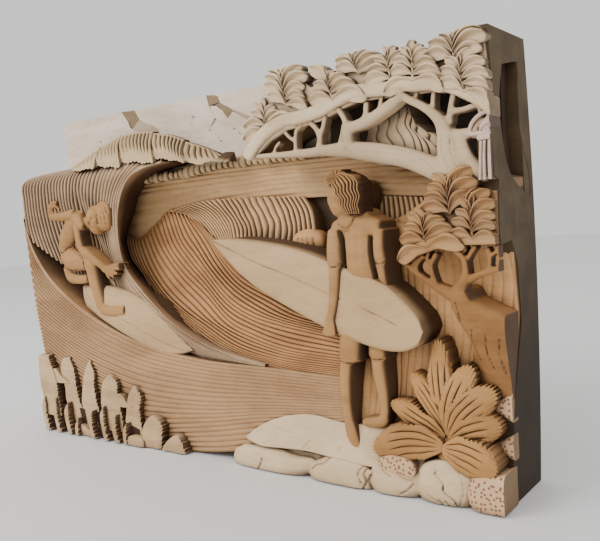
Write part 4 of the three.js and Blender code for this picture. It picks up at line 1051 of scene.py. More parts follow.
shares = np.linspace(0, 1, tallBoard["rows"] + 1)
shares = 0.4 * shares + 0.6 * (0.5 - 0.5 * np.cos(math.pi * shares))
upper, lower = edgeAlong(tallBoard["upper"], shares), edgeAlong(tallBoard["lower"], shares)
u = np.linspace(-1, 1, tallBoard["columns"] + 1)
tallGrid = np.empty((len(u), len(shares), 3))
for c, across in enumerate(u):
    tallGrid[c, :, :2] = upper * (1 + across) / 2 + lower * (1 - across) / 2
    tallGrid[c, :, 2] = tallBoard["front"] + tallBoard["crown"] * (1 - across**2) - tallBoard["rail"] * abs(across) ** 12
tallBoardBody = gridBody("tallBoard", tallGrid, 60)
stringer = (0.54 * upper + 0.46 * lower)[6:-6:27]
incise(tallBoardBody, [([tuple(spot) for spot in stringer], 1.3, 1.8)])
finishPiece(tallBoardBody, boardWood)

# The standing figure, seen from behind, in a loose shirt and rolled shorts
stander = {"floor": 72, "headFloor": 92, "grain": 1.35, "softness": 3}
standFloor = stander["floor"]
standParts = [
    limbBody([[212, 58, 112, 15], [226, 55, 117, 23], [228, 36, 119, 21], [229, 12, 119, 20.5], [230, -16, 117, 22]],
             standFloor, swell=0.55, blunt=0.35),
    limbBody([[202, 55, 118, 10], [224, 62, 118, 11], [252, 54, 114, 10]], standFloor),
    limbBody([[212, 78, 112, 10], [218, 62, 115, 13]], standFloor),
    limbBody([[200.5, 52, 121, 11], [199.5, 32, 124, 11], [199.5, 15, 124, 11.5]], standFloor, blunt=0.3),
    limbBody([[200, 14, 125, 8.8], [199, -8, 125, 8], [195.5, -34, 125, 6.6], [191.5, -50, 125, 5.6]], standFloor),
    limbBody([[191, -50, 124.5, 6.4], [188, -60, 124, 7.4]], standFloor, swell=0.6),
    limbBody([[184.5, -60, 124, 2.7], [180, -70, 123, 2.4]], standFloor),
    limbBody([[188, -60, 124.5, 2.7], [185, -72, 123.5, 2.4]], standFloor),
    limbBody([[191.5, -60, 124.5, 2.7], [190, -72, 123.5, 2.4]], standFloor),
    limbBody([[194.5, -59, 124, 2.7], [195, -70, 123, 2.4]], standFloor),
    limbBody([[255, 50, 113, 8.5], [255.5, 34, 114, 7.6], [256, 17, 113, 8]], standFloor, blunt=0.3),
    limbBody([[256.5, 15, 113, 6], [257, 2, 112, 5.8], [259, -16, 111, 5.6]], standFloor),
    limbBody([[212, -66, 118, 16], [210, -84, 119, 15.2], [208.5, -102, 119, 14.4]], standFloor, swell=0.6, blunt=0.2),
    limbBody([[242, -66, 110, 12.5], [242.5, -82, 109.5, 12], [242, -99, 109, 11.8]], standFloor, swell=0.6, blunt=0.2),
    limbBody([[204, -102, 117, 8.6], [201.5, -128, 118, 8.6], [201.5, -160, 117, 7.6], [204, -186, 116, 7.4]], standFloor),
    limbBody([[203.5, -180, 116, 7.6], [207, -196, 116, 8.4], [211, -207, 114, 7]], standFloor, swell=0.6),
    limbBody([[242, -98, 108.5, 9.6], [243.5, -116, 109, 9.6], [247.5, -141, 109, 8], [250, -164, 109.5, 5.8]], standFloor),
    limbBody([[249, -164, 109.5, 6], [247, -174, 110.5, 7.4], [236, -176, 112, 6.2], [224, -177, 113, 4.8]], standFloor, swell=0.7),
    domeBody(208, 92, 121, 19, 26, stander["headFloor"], crown=0.85, turn=-0.1),
    domeBody(221, 96, 121, 18, 22, stander["headFloor"], crown=0.4),
    domeBody(216, 92, 100, 15, 20, standFloor - 22, crown=0.3),
]
standBody = fuse(joinAll("standingFigure", standParts), stander["grain"], stander["softness"])
press(standBody, [
    (232, 30, 4, 26, 1.2), (216, 46, 8, 8, 1.4), (246, 44, 6, 8, 1.2), (228, -8, 16, 6, 1.0),
    (197, 96, 2.6, 2.0, 2.2), (191, 90, 2.2, 5, -1.6), (197, 80, 3.6, 1.4, -0.8), (198, 72, 4, 3, -1.0),
    (208, 88, 3.4, 5.4, -2.2), (208, 88, 1.7, 3.0, 2.8), (232, 20, 9, 16, -0.8), (218, 50, 6, 6, 1.2),
])
incise(standBody, [
    ([(188, 13), (199, 10), (211, 12)], 1.5, 3.4), ([(190, 17), (200, 14.5), (210, 16)], 1.1, 1.4),
    ([(246, 15), (256, 12), (263, 14)], 1.4, 3.0), ([(247, 19), (256, 16), (262, 18)], 1.0, 1.2),
    ([(208, 52), (212, 34), (212, 8)], 2.4, 6.0), ([(246.5, 44), (247, 20), (250, -4)], 2.4, 6.0),
    ([(207, 60), (216, 55), (225, 60), (229, 68)], 1.5, 2.6),
    ([(194, -103), (209, -106), (223, -103)], 1.6, 3.0), ([(194, -99), (209, -101), (223, -99)], 1.1, 1.2),
    ([(230, -98), (242, -101), (254, -99)], 1.6, 3.0), ([(228, -68), (228, -86), (227, -106)], 2.4, 6.0),
    ([(193, 81), (198, 80)], 1.1, 1.2), ([(194, 99), (198, 100.5), (202, 99)], 1.0, 1.0),
    ([(222, -175), (224, -181)], 1.1, 1.4), ([(226, -174), (228, -181)], 1.1, 1.4), ([(230, -174), (232, -181)], 1.0, 1.2),
])
finishPiece(standBody, figureWood, 60)

# Long hair that falls in wavy strands from the crown to a straight cut
hair = {"strands": 8, "perRib": 9, "rows": 60, "cut": 3.6, "fullness": 0.6, "share": 0.9, "chatter": 0.3, "sway": 1.3}
hairGrid = stretched([
    [[208, 112, 124], [204.5, 106, 125.2], [209, 96, 125.6], [214, 86, 125], [217, 74, 123]],
    [[210, 115, 124.5], [212, 108, 126.2], [217, 97, 126.6], [221, 85, 126], [222, 72, 124]],
    [[212, 118, 124], [221, 112, 125.8], [226, 99, 126.4], [229, 85, 126], [228, 71.5, 124.5]],
    [[214, 120, 122], [229, 115, 124], [235, 101, 125], [236, 86, 125.4], [234, 71, 124]],
    [[218, 121.5, 118], [236, 112, 120], [241.5, 101, 121.5], [241, 86, 122], [239, 71, 121.5]],
], hair["strands"] * hair["perRib"], hair["rows"])
downHair = np.linspace(0, 1, hair["rows"] + 1)
hairGrid[..., 0] += hair["sway"] * np.sin(downHair * 21)[None] * smoothStep(downHair, 0.1, 0.5)
hairBody = ribbedBody("longHair", hairGrid, 92, hair["strands"], hair, figureWood, seed=11)
finishPiece(hairBody, figureWood, 60)
fringe = {"strands": 9, "perRib": 8, "rows": 24, "cut": 2.2, "fullness": 0.6, "share": 0.9, "chatter": 0.3}
fringeGrid = stretched([
    [[215, 117, 123.5], [216, 121, 121], [217, 124, 117]],
    [[211, 116, 124], [207, 120, 122], [204, 123, 118]],
    [[209, 114.5, 124.4], [202, 117, 122.8], [196, 118.5, 118]],
    [[208, 112.5, 124.6], [200, 112.5, 123], [191, 112, 118.5]],
    [[207, 110, 124.8], [202, 107, 124], [196, 105, 121]],
], fringe["strands"] * fringe["perRib"], fringe["rows"])
fringeShare = np.linspace(0, 1, fringeGrid.shape[0])
fringeGrid = ragged(fringeGrid, 1 - 0.2 * (1 - np.abs(np.sin(math.pi * fringeShare * fringe["strands"]))))
fringeBody = ribbedBody("fringe", fringeGrid, 96, fringe["strands"], fringe, figureWood, seed=12)
finishPiece(fringeBody, figureWood, 60)


# The thick shelf that carries the upper leaves, hollowed from behind the branches to the side
hollow = {"floor": 24, "front": 90, "lining": 47}
shelfOutline = [(84, 150), (107, 168), (132, 178), (155, 180), (185, 183), (208, 191), (236, 198), (263, 198),
                (297, 196), (348, 196), (362, 186), (380, 176), (399, 162), (399, 250), (384, 254),
                (346, 252), (330, 240), (315, 246), (292, 236), (264, 240), (245, 248), (222, 242), (212, 226),
                (190, 228), (172, 226), (150, 250), (122, 248), (108, 228), (88, 206)]
shelfBody = prismBody("canopyShelf", shelfOutline, 14, 104)
hollowOutline = [(92, 151), (130, 176), (176, 196), (224, 216), (290, 227), (420, 228), (420, 98), (382, 104),
                 (352, 120), (330, 152), (300, 152), (220, 152)]
subtract(shelfBody, prismBody("hollow", hollowOutline, hollow["floor"], hollow["front"]))
trimToSlab(shelfBody)
bowRightSide(shelfBody)
finishPiece(shelfBody, sideWood)
upperGround = prismBody("leafGround", [(x, z) for x, z in shelfOutline[:13]] + [
    (392, 246), (372, 250), (348, 246), (332, 238), (316, 240), (294, 234), (266, 238), (246, 244), (226, 238), (212, 222),
    (190, 226), (174, 224), (156, 240), (140, 246), (124, 240), (110, 224), (90, 200)], 96, 110)
trimToSlab(upperGround)
finishPiece(upperGround, leafWood)
# painted shade: a dark lining at the back of the hollow, seen through the window
liningOutline = [(156, 150), (160, 190), (224, 218), (290, 229), (384, 229), (384, 96), (352, 108), (330, 140), (220, 146)]
lining = prismBody("hollowLining", liningOutline, 20, hollow["lining"])
finishPiece(lining, hollowShadeWood)

# The bank behind the figure and the lower tree, in shallow wavy steps
bank = {"ribs": 22, "perRib": 6, "rows": 60, "cut": 1.3, "fullness": 0.2, "share": 0.4, "chatter": 0.8}
bankGrid = stretched([
    [[180, 66, 54], [180, 0, 62], [180, -80, 78], [180, -150, 92], [180, -200, 104]],
    [[250, 62, 58], [250, 2, 64], [250, -70, 72], [250, -140, 82], [250, -200, 98]],
    [[320, 96, 60], [320, 2, 66], [320, -60, 68], [320, -130, 78], [320, -206, 90]],
    [[406, 100, 70], [406, 2, 68], [406, -60, 61], [406, -130, 78], [406, -210, 88]],
], bank["ribs"] * bank["perRib"], bank["rows"])
bankGrid = swayed(bankGrid, 0.008, 1.5)
bankGrid[..., 0] += 1.8 * np.sin(np.linspace(0, 26, bank["rows"] + 1))[None] * smoothStep(bankGrid[..., 0], 300, 330)
bankBody = ribbedBody("bank", bankGrid, 14, bank["ribs"], bank, bankWood, seed=13,
                      strength=edgeFade(*bankGrid.shape[:2], sides=0.02) * smoothStep(bankGrid[..., 2], 104, 84))
trimToSlab(bankBody)
bowRightSide(bankBody)
finishPiece(bankBody, bankWood)

# Side wall between the two trees
wall = prismBody("sideWall", [(352, 112), (332, 92), (330, 62), (300, 56), (288, 20), (317, 32), (343, 38), (399, 38),
                              (399, 101), (382, 106)], 14, 104)
trimToSlab(wall)
bowRightSide(wall)
finishPiece(wall, sideWood)


lowerGround = prismBody("lowLeafGround", [(292, 22), (300, 54), (322, 62), (328, 90), (350, 104), (370, 100), (380, 88),
                                          (399, 86), (399, 40), (343, 38), (317, 32)], 96, 110)
trimToSlab(lowerGround)
finishPiece(lowerGround, warmLeafWood)


# The plain right side of the slab, with the window sawn into the upper hollow: points are [h, z]
def sidePlate(name, outline, holes, inner, outer):
    obj = prismBody(name, outline, inner, outer, holes)
    co = vertexArray(obj)
    writeVertices(obj, np.stack([-co[:, 1], -co[:, 0], co[:, 2]], 1))
    outward(obj)
    return obj


def ladder(points, most=16):
    # Splits long edges so that the bow of the side bends them evenly
    out = []
    for a, b in zip(points, points[1:] + points[:1]):
        steps = max(1, math.ceil(abs(a[1] - b[1]) / most))
        out += [tuple(np.array(a) + (np.array(b) - np.array(a)) * i / steps) for i in range(steps)]
    return out


plateOutline = [(0.2, 256), (107, 256), (107, 170), (111, 160), (114, 150), (116, 143), (116, 102), (103, 97), (106, 88),
                (109, 44), (106, 30), (76, 33), (62, 8), (56, -57), (80, -128), (87, -160), (88, -204), (92, -214), (117, -217),
                (117, -256), (0.2, -256)]
windowOutline = [(75, 219), (50, 224), (24, 228), (30, 205), (33, 170), (33, 152), (22, 128), (12, 108), (9, 84), (14, 77),
                 (30, 84), (52, 93), (71, 105), (80, 118), (86, 134), (91, 165), (91, 176), (84, 198)]
side = sidePlate("rightSide", ladder(plateOutline), [ladder(windowOutline)], 384, 400)
bowRightSide(side)
finishPiece(side, sideWood, 30)


# One petal of unit length, pointing up: curved outwards, with its upper edge raised over a gouge
petal = {"columns": 13, "rows": 17, "halfWidth": 0.235, "bend": 0.15, "rim": 0.085, "gouge": 0.075, "fall": 0.10,
         "back": -0.5}


def makePetal(name, hand):
    u = np.linspace(-1, 1, petal["columns"])[:, None]
    v = np.linspace(0, 1, petal["rows"])[None]
    width = petal["halfWidth"] * (0.2 + 0.8 * smoothStep(v, -0.05, 0.62)) * np.sqrt(
        np.clip(1 - np.clip((v - 0.66) / 0.35, 0, 1) ** 2, 0.015, 1))
    x = u * width - petal["bend"] * hand * np.sin(math.pi * v**0.85)
    upper = -u * hand
    h = petal["rim"] * np.exp(-((upper - 0.72) / 0.24) ** 2) * (0.25 + 0.75 * np.sin(math.pi * np.minimum(v * 0.9, 0.62)))
    h = h - petal["gouge"] * np.exp(-((upper - 0.22) / 0.36) ** 2) * np.sin(math.pi * np.clip(v, 0.02, 1)) ** 0.6
    h = h - petal["fall"] * ((1 - upper) / 2) ** 1.6 - 0.05 * v**5
    grid = np.stack([x * np.ones_like(h), v * np.ones_like(h), h], -1) * 1000
    form = gridBody(name, grid, petal["back"] * 1000)
    form.hide_render = True
    return form


leftPetal = makePetal("leftPetal", -1)
rightPetal = makePetal("rightPetal", 1)


# A spray: petals in pairs along a short vein, given by the places of their tips from the lowest up
def makeSpray(root, top, leftTips, rightTips, material, seed):
    start, end = np.array(root, float), np.array([*top[0], root[2] - 1.0])
    parts = [limbBody([[*start[:2], start[2] + 0.6, 1.5], [*(start + 0.4 * (end - start))[:2], start[2] + 0.2, 1.2],
                       [*(start + 0.72 * (end - start))[:2], start[2] - 0.4, 0.7]], start[2] - 12)]
    groups = [(leftTips, leftPetal), (rightTips, rightPetal),
              (top[:1], leftPetal if top[0][0] < start[0] else rightPetal), (top[1:], rightPetal)]
    for number, (tips, form) in enumerate(groups):
        if not tips:
            continue
        count = len(tips)
        rise = [0.60 * (i / max(1, count)) ** 0.9 if number < 2 else 0.58 for i in range(count)]
        bases = [start + (end - start) * share for share in rise]
        for i, base in enumerate(bases):
            base[2] = start[2] + 2.4 * (1 - rise[i] / 0.6)
        chords = [np.array(tip) - base[:2] for tip, base in zip(tips, bases)]
        host = newObject("sprayHost", place(bases), [])
        setAttribute(host, "turn", [math.atan2(c[0], c[1]) for c in chords])
        setAttribute(host, "size", [np.linalg.norm(c) * mm for c in chords])
        parts.append(applyNodes(host, rowTree, {"Form": form, "Smallest": 1.0, "Largest": 1.05, "Swing": 0.03,
                                                "Seed": seed * 4 + number, "Material": material}))
    return joinAll("spray", parts)


upperSprays = [
    ((106, 180, 114), [(102, 222)], [(71, 172), (72, 188), (85, 205), (91, 216)], [(153, 188), (131, 199), (121, 209)]),
    ((142, 207, 116), [(130, 252), (149, 252)], [(115, 222), (110, 234), (111, 245), (117, 251)],
     [(172, 200), (167, 215), (168, 227), (171, 239), (163, 250)]),
    ((210, 203, 118), [(197, 241), (212, 237)], [(178, 206), (184, 225), (180, 245)], [(253, 203), (239, 219), (226, 230)]),
    ((245, 230, 116), [(233, 253), (246, 253)], [(217, 238), (216, 246), (221, 251)], [(284, 230), (270, 245), (259, 251)]),
    ((287, 216, 118), [(279, 252), (293, 250)], [(254, 216), (258, 227), (266, 241)], [(306, 228), (302, 242)]),
    ((315, 208, 121), [(315, 252), (326, 246)], [(281, 201), (289, 221), (292, 233), (302, 245)],
     [(349, 196), (347, 212), (340, 226), (334, 239)]),
    ((362, 224, 119), [(360, 252), (376, 252)], [(330, 232), (334, 244), (347, 251)], [(391, 232), (395, 243), (390, 250)]),
    ((372, 190, 121), [(364, 230), (381, 232)], [(346, 202), (347, 216), (354, 226)],
     [(398, 170), (398, 190), (398, 204), (394, 218)]),
]
upperLeaves = joinAll("upperLeaves", [makeSpray(*spray, leafWood, 20 + i) for i, spray in enumerate(upperSprays)])
trimToSlab(upperLeaves)
finishPiece(upperLeaves, leafWood, 40)

lowerSprays = [
    ((349, 66, 118), [(345, 107), (358, 108)], [(316, 72), (320, 84), (324, 95), (331, 108)],
     [(372, 86), (378, 98), (374, 110)]),
    ((374, 38, 120), [(370, 88), (382, 90)], [(350, 44), (352, 57), (356, 68), (362, 80)],
     [(398, 38), (398, 50), (398, 62), (398, 76), (392, 88)]),
    ((321, 28, 120), [(312, 73), (328, 67)], [(286, 16), (289, 38), (294, 53), (300, 66)], [(362, 32), (353, 49), (341, 60)]),
]
lowerLeaves = joinAll("lowerLeaves", [makeSpray(*spray, warmLeafWood, 40 + i) for i, spray in enumerate(lowerSprays)])
trimToSlab(lowerLeaves)
finishPiece(lowerLeaves, warmLeafWood, 40)
bpy.data.objects.remove(leftPetal)
bpy.data.objects.remove(rightPetal)


# Branches as fused strands: each is a list of [x, z, r], with one height for its front
def strands(name, lists, floor, grain, softness):
    limbs = [limbBody([[x, z, front, r] for x, z, r in points], floor, swell=0.75, around=14) for front, points in lists]
    return fuse(joinAll(name, limbs), grain, softness)


branchGrain = {"grain": 1.35, "softness": 4, "floor": 98}
upperStrands = [
    (113, [(88, 151, 3), (120, 149.5, 3.5), (160, 148, 5), (190, 148, 6)]),
    (117, [(186, 148, 6), (216, 146, 9), (246, 141, 11), (270, 136, 11), (296, 129, 11), (322, 118, 12), (345, 108, 15)]),
    (112, [(147, 150, 3), (148, 166, 2.8), (150, 176, 2.8), (158, 184, 3.4)]), (112, [(148, 163, 2.4), (138, 170, 2.2), (133, 176, 2.8)]),
    (110, [(112, 152, 2.2), (116, 160, 1.8), (122, 165, 2)]),
    (113, [(182, 152, 5), (184, 163, 4), (180, 174, 3.2), (171, 184, 3.6)]),
    (113, [(184, 165, 3.4), (190, 176, 3), (193, 187, 3.6)]),
    (118, [(220, 148, 13), (223, 162, 9.5), (224, 172, 7)]), (114, [(223, 171, 5), (220, 182, 3.6), (213, 193, 3.6)]),
    (114, [(226, 172, 6), (238, 173, 5), (248, 180, 4), (251, 194, 3.8)]),
    (118, [(230, 170, 6), (252, 175, 6.5), (268, 182, 6), (284, 190, 6), (298, 198, 5)]),
    (113, [(264, 180, 3), (268, 190, 2.6), (271, 200, 3)]), (113, [(280, 188, 2.6), (283, 199, 2.8)]),
    (117, [(297, 198, 5), (306, 191, 4.5), (318, 184, 4.5), (330, 175, 5), (340, 164, 7), (345, 150, 10), (347, 135, 14),
           (350, 120, 17), (352, 112, 16)]),
    (113, [(312, 187, 2.6), (314, 200, 3)]), (113, [(332, 174, 3.4), (333, 188, 2.8), (335, 200, 3.2)]),
    (113, [(350, 162, 4.6), (353, 178, 3.4), (357, 192, 3.6)]), (113, [(352, 173, 3.2), (366, 173, 2.8), (386, 177, 3.4)]),
    (114, [(385, 178, 3.4), (386, 164, 3.6), (378, 151, 4.6), (364, 147, 6.5), (350, 146, 9)]),
    (114, [(372, 149, 5), (380, 146, 5), (390, 147, 5)]),
    (115, [(362, 146, 6), (366, 130, 7), (372, 116, 9), (386, 104, 9)]),
]
latticeBody = strands("upperBranches", upperStrands, branchGrain["floor"], branchGrain["grain"], branchGrain["softness"])
incise(latticeBody, [
    ([(222, 178), (219, 160), (224, 146), (232, 140)], 1.2, 1.6), ([(233, 158), (234, 148), (246, 140)], 1.0, 1.2),
    ([(262, 146), (290, 140), (316, 128), (332, 114)], 1.3, 1.4), ([(262, 138), (292, 132), (318, 120)], 1.1, 1.1),
    ([(343, 150), (342, 130), (350, 112)], 1.2, 1.4), ([(352, 144), (353, 128), (360, 112)], 1.1, 1.2),
])
trimToSlab(latticeBody)
finishPiece(latticeBody, rockWood, 60)

# The lip of the canopy, a thick smooth arch over the branches
lipLines = [
    [(74, 154, 117), (92, 170, 119), (110, 182, 119), (134, 190, 119), (158, 191, 119), (186, 195, 119), (210, 203, 119),
     (238, 209, 119), (264, 208, 119), (296, 205, 120)],
    [(282, 205, 121), (298, 209, 122), (314, 206, 123)], [(315, 206, 123), (332, 205, 122), (347, 202, 121)],
    [(344, 203, 119), (366, 194, 119), (384, 183, 120), (402, 169, 120)],
]
lipBody = fuse(joinAll("canopyLip", [
    limbBody([[x, z, h, 8] for x, z, h in line], 90, swell=0.4) for line in lipLines]), 2.0, 4)
trimToSlab(lipBody)
finishPiece(lipBody, leafWood, 60)

# A bluff with wavy cuts inside the wide opening, which leaves a dark gap beside the trunk
bluff = {"ribs": 8, "perRib": 10, "rows": 70, "cut": 3.4, "fullness": 0.3, "share": 0.5, "chatter": 0.6, "wave": 2.2}
bluffGrid = stretched([
    [[230, 172, 84], [236, 148, 88], [244, 126, 84]],
    [[262, 182, 86], [266, 152, 92], [278, 122, 84]],
    [[287, 192, 88], [294, 160, 97], [310, 112, 92]],
    [[298, 170, 90], [309, 152, 96], [330, 108, 94]],
    [[330, 148, 88], [338, 132, 92], [350, 102, 92]],
], bluff["ribs"] * bluff["perRib"], bluff["rows"])
bluffGrid[..., 0] += bluff["wave"] * np.sin(np.linspace(0, 13, bluff["rows"] + 1))[None]
bluffBody = ribbedBody("bluff", bluffGrid, 30, bluff["ribs"], bluff, rockWood, seed=14)
finishPiece(bluffBody, rockWood, 60)

# A carved knob and a fluted post at the right edge
post = {"ribs": 3, "perRib": 10, "rows": 20, "cut": 3.4, "fullness": 0.6, "share": 0.6, "chatter": 0.4}
postGrid = stretched([
    [[385, 138, 120], [384, 122, 120.5], [382, 98, 120]], [[392, 138, 122], [391, 122, 122.5], [390, 98, 122]],
    [[401, 138, 121], [401, 122, 121], [401, 98, 121]],
], post["ribs"] * post["perRib"], post["rows"])
postBody = ribbedBody("edgePost", postGrid, 92, post["ribs"], post, postWood, seed=15)
knobParts = [
    limbBody([[386, 141, 122, 3.2], [404, 141, 122, 3.2]], 92),
    limbBody([[372, 146, 115, 2.6], [378, 158, 117, 2.4], [390, 166, 118, 2.4], [404, 168, 118, 2.6]], 92),
    limbBody([[374, 146, 115, 2.4], [386, 146, 118, 2.4], [396, 147, 119, 3]], 92),
    domeBody(392, 154, 121, 8, 6.5, 92, crown=0.7, turn=0.5), domeBody(398, 159, 122, 5, 5, 92, crown=0.8),
]
knobBody = fuse(joinAll("knob", knobParts), 1.1, 2)
incise(knobBody, [([(384, 150), (390, 158), (398, 162)], 1.2, 2.4), ([(388, 148), (394, 153), (401, 155)], 1.2, 2.0)])
for piece in (postBody, knobBody):
    trimToSlab(piece)
    finishPiece(piece, postWood, 50)

# The lower tree: its pierced branches and its trunk, which leans to the right
lowerStrands = [
    (113, [(291, 11, 2.4), (306, -1, 3), (324, -13, 4.5), (342, -22, 8)]),
    (112, [(304, 0, 2.2), (303, 10, 2.2), (310, 20, 2.8)]), (112, [(296, 8, 1.8), (300, 14, 1.8), (306, 18, 2)]),
    (113, [(325, -12, 4), (322, 0, 3), (321, 10, 2.6), (327, 22, 3)]), (112, [(321, 10, 2.2), (316, 16, 1.8), (318, 24, 2.4)]),
    (116, [(353, -30, 12), (352, -18, 9), (359, -7, 5.4), (362, 5, 3.8), (360, 16, 3), (351, 26, 3.4)]),
    (113, [(361, 12, 2.8), (366, 20, 2.4), (372, 29, 3)]), (112, [(356, 20, 1.6), (362, 27, 2)]),
    (114, [(358, -9, 4), (374, -1, 3.4), (388, 3, 3.2), (403, 7, 3.2)]),
    (112, [(384, 2, 2.4), (388, 12, 2.2), (386, 26, 3)]), (112, [(397, 5, 2.6), (401, 16, 2.6), (396, 28, 3)]),
    (112, [(388, 18, 1.6), (396, 24, 1.8)]),
]
trunkPath = [[352, -24, 117, 10], [356, -36, 116, 13], [368, -50, 113, 19], [382, -66, 107, 27], [388, -90, 99, 35],
             [386, -116, 92, 37]]
lowerParts = [limbBody([[x, z, front, r] for x, z, r in points], 98, swell=0.75, around=14)
              for front, points in lowerStrands]
lowerParts.append(limbBody(trunkPath, 60, swell=0.45))
lowerBranches = fuse(joinAll("lowerBranches", lowerParts), branchGrain["grain"], branchGrain["softness"])
incise(lowerBranches, [
    ([(349, -30), (352, -46), (349, -64), (352, -82)], 1.4, 2.2), ([(364, -60), (361, -78), (366, -98)], 1.4, 2.2),
    ([(378, -66), (376, -86), (381, -106)], 1.4, 2.2), ([(392, -70), (390, -90), (394, -110)], 1.4, 2.2),
    ([(344, -62), (366, -62)], 1.1, 1.4),
])
trimToSlab(lowerBranches)
finishPiece(lowerBranches, trunkWood, 60)
lowerLip = fuse(joinAll("lowerLip", [
    limbBody([[288, 19, 116, 5], [298, 25, 119, 7], [316, 31, 120, 7], [338, 37, 120, 7], [358, 38, 119, 7]], 92, swell=0.4),
    limbBody([[356, 37, 118, 6], [376, 37, 120, 6], [404, 37, 120, 6]], 92, swell=0.4),
]), 1.8, 4)
trimToSlab(lowerLip)
finishPiece(lowerLip, warmLeafWood, 60)


# A boulder inside a closed outline, with a flattened front that may tilt: slope is [per x, per z]
def rockBody(outline, floor, front, crown, slope=(0, 0), square=5, around=48):
    rim = smoothCurve(outline, around, closed=True)
    centre = rim.mean(0)
    shares = [1, 0.985, 0.95, 0.88, 0.78, 0.62, 0.42, 0.2]
    vertices = [[*point, floor] for point in rim]
    for share in shares:
        ring = centre + (rim - centre) * share
        height = front - crown * share**square + (ring - centre) @ np.array(slope)
        vertices.extend(np.column_stack([ring, height]).tolist())
    vertices.append([*centre, front])
    faces = [tuple(range(around))]
    for ring in range(len(shares)):
        for i in range(around):
            j = (i + 1) % around
            faces.append((ring * around + i, ring * around + j, (ring + 1) * around + j, (ring + 1) * around + i))
    last = len(shares) * around
    faces += [(last + i, last + (i + 1) % around, len(vertices) - 1) for i in range(around)]
    obj = newObject("rock", place(vertices), faces)
    outward(obj)
    return obj


# The flat shelf of rock above the stones, with a raised front edge
shelf = {"columns": 50, "rows": 130, "floor": 60, "rough": 1.5, "lip": 2.2}
shelfGrid = stretched([
    [[34, -217, 106], [62, -199, 108], [107, -182, 108], [147, -177, 108], [190, -182, 107], [240, -180, 104],
     [300, -168, 96]],
    [[36, -218, 110], [66, -210, 114], [110, -201, 114], [150, -198, 114], [196, -202, 113], [246, -200, 110],
     [300, -190, 104]],
    [[40, -218, 114], [68, -224, 119], [104, -223, 119], [142, -222, 119], [190, -226, 118], [240, -230, 115],
     [300, -224, 112]],
], shelf["columns"], shelf["rows"])
acrossShelf = np.linspace(0, 1, shelfGrid.shape[0])[:, None]
shelfGrid[..., 2] += shelf["lip"] * np.exp(-((acrossShelf - 0.93) / 0.05) ** 2) - 3 * smoothStep(acrossShelf, 0.97, 1.0)
sandBody = gridBody("sand", shelfGrid, shelf["floor"])
incise(sandBody, [
    ([(82, -209), (85, -214)], 1.0, 1.6), ([(86, -208), (89, -214)], 1.0, 1.6), ([(90, -207), (93, -213)], 1.0, 1.6),
    ([(146, -208), (141, -213), (136, -218)], 1.3, 2.0), ([(192, -209), (188, -214), (184, -219)], 1.3, 1.8),
])
setAttribute(sandBody, "pits", np.zeros(len(sandBody.data.vertices)))
applyNodes(sandBody, pittedTree, {"Spacing": 0.01, "Width": 0.3, "Depth": 0.0, "Rough": shelf["rough"] * mm,
                                  "Grain": 46.0, "Seed": 5.0, "Material": stoneWood})
trimToSlab(sandBody)
finishPiece(sandBody, stoneWood)

stones = {"grain": 1.6, "softness": 2, "rough": 1.6, "floor": 84}
stoneForms = [
    ([(15, -238), (34, -229), (60, -225), (90, -225), (116, -230), (150, -233), (146, -246), (134, -254), (112, -266),
      (56, -268), (24, -262), (13, -252)], 122, 9, (0.02, -0.02), 4),
    ([(149, -234), (160, -228), (176, -221), (200, -223), (222, -228), (233, -238), (231, -260), (214, -265), (160, -265),
      (143, -258), (140, -246)], 124, 9, (0.02, -0.02), 4),
    ([(234, -226), (246, -216), (268, -212), (292, -214), (297, -232), (294, -252), (272, -264), (244, -266),
      (233, -250)], 124.5, 9, (-0.02, -0.03), 3.4),
    ([(296, -222), (306, -211), (328, -206), (350, -210), (363, -220), (361, -236), (354, -256), (330, -266),
      (308, -262), (295, -250)], 126, 10, (-0.03, 0.0), 3.2),
    ([(20, -232), (70, -222), (140, -226), (220, -222), (290, -212), (380, -212), (380, -240), (240, -250),
      (120, -252), (40, -250)], 108, 4, (0, 0), 6),
]
stoneBody = fuse(joinAll("stones", [
    rockBody(outline, stones["floor"], front, crown, slope, square) for outline, front, crown, slope, square in stoneForms
]), stones["grain"], stones["softness"])
incise(stoneBody, [
    ([(69, -240), (66, -248), (62, -256), (64, -264)], 1.6, 2.8), ([(51, -256), (53, -266)], 1.4, 2.4),
    ([(93, -258), (92, -266)], 1.4, 2.4), ([(103, -256), (104, -266)], 1.4, 2.4),
    ([(178, -220), (173, -228), (166, -233), (155, -237), (146, -244)], 1.6, 3.0),
    ([(231, -228), (224, -236), (227, -246), (222, -256)], 1.5, 2.6), ([(226, -226), (217, -236), (221, -250)], 1.5, 2.4),
    ([(236, -232), (230, -244), (234, -258)], 1.6, 2.6),
    ([(244, -220), (252, -228), (262, -233)], 1.6, 3.0), ([(272, -230), (281, -234), (290, -235)], 1.6, 2.6),
    ([(290, -238), (283, -246), (274, -252)], 1.4, 2.6),
    ([(318, -212), (320, -222), (328, -230), (330, -240), (340, -248), (344, -258)], 1.4, 2.8),
    ([(298, -240), (312, -248), (326, -256)], 1.3, 1.6), ([(300, -228), (312, -222), (320, -224)], 1.2, 1.2),
    ([(322, -250), (328, -256), (330, -262)], 1.3, 2.2), ([(330, -250), (335, -257)], 1.3, 2.0),
    ([(346, -214), (352, -232), (346, -254)], 1.2, 1.2),
])
setAttribute(stoneBody, "pits", np.zeros(len(stoneBody.data.vertices)))
plainRock = {"Spacing": 0.01, "Width": 0.3, "Depth": 0.0, "Grain": 60.0}
applyNodes(stoneBody, pittedTree, {**plainRock, "Rough": stones["rough"] * mm, "Seed": 6.0, "Material": stoneWood})
trimToSlab(stoneBody)
finishPiece(stoneBody, stoneWood, 50)

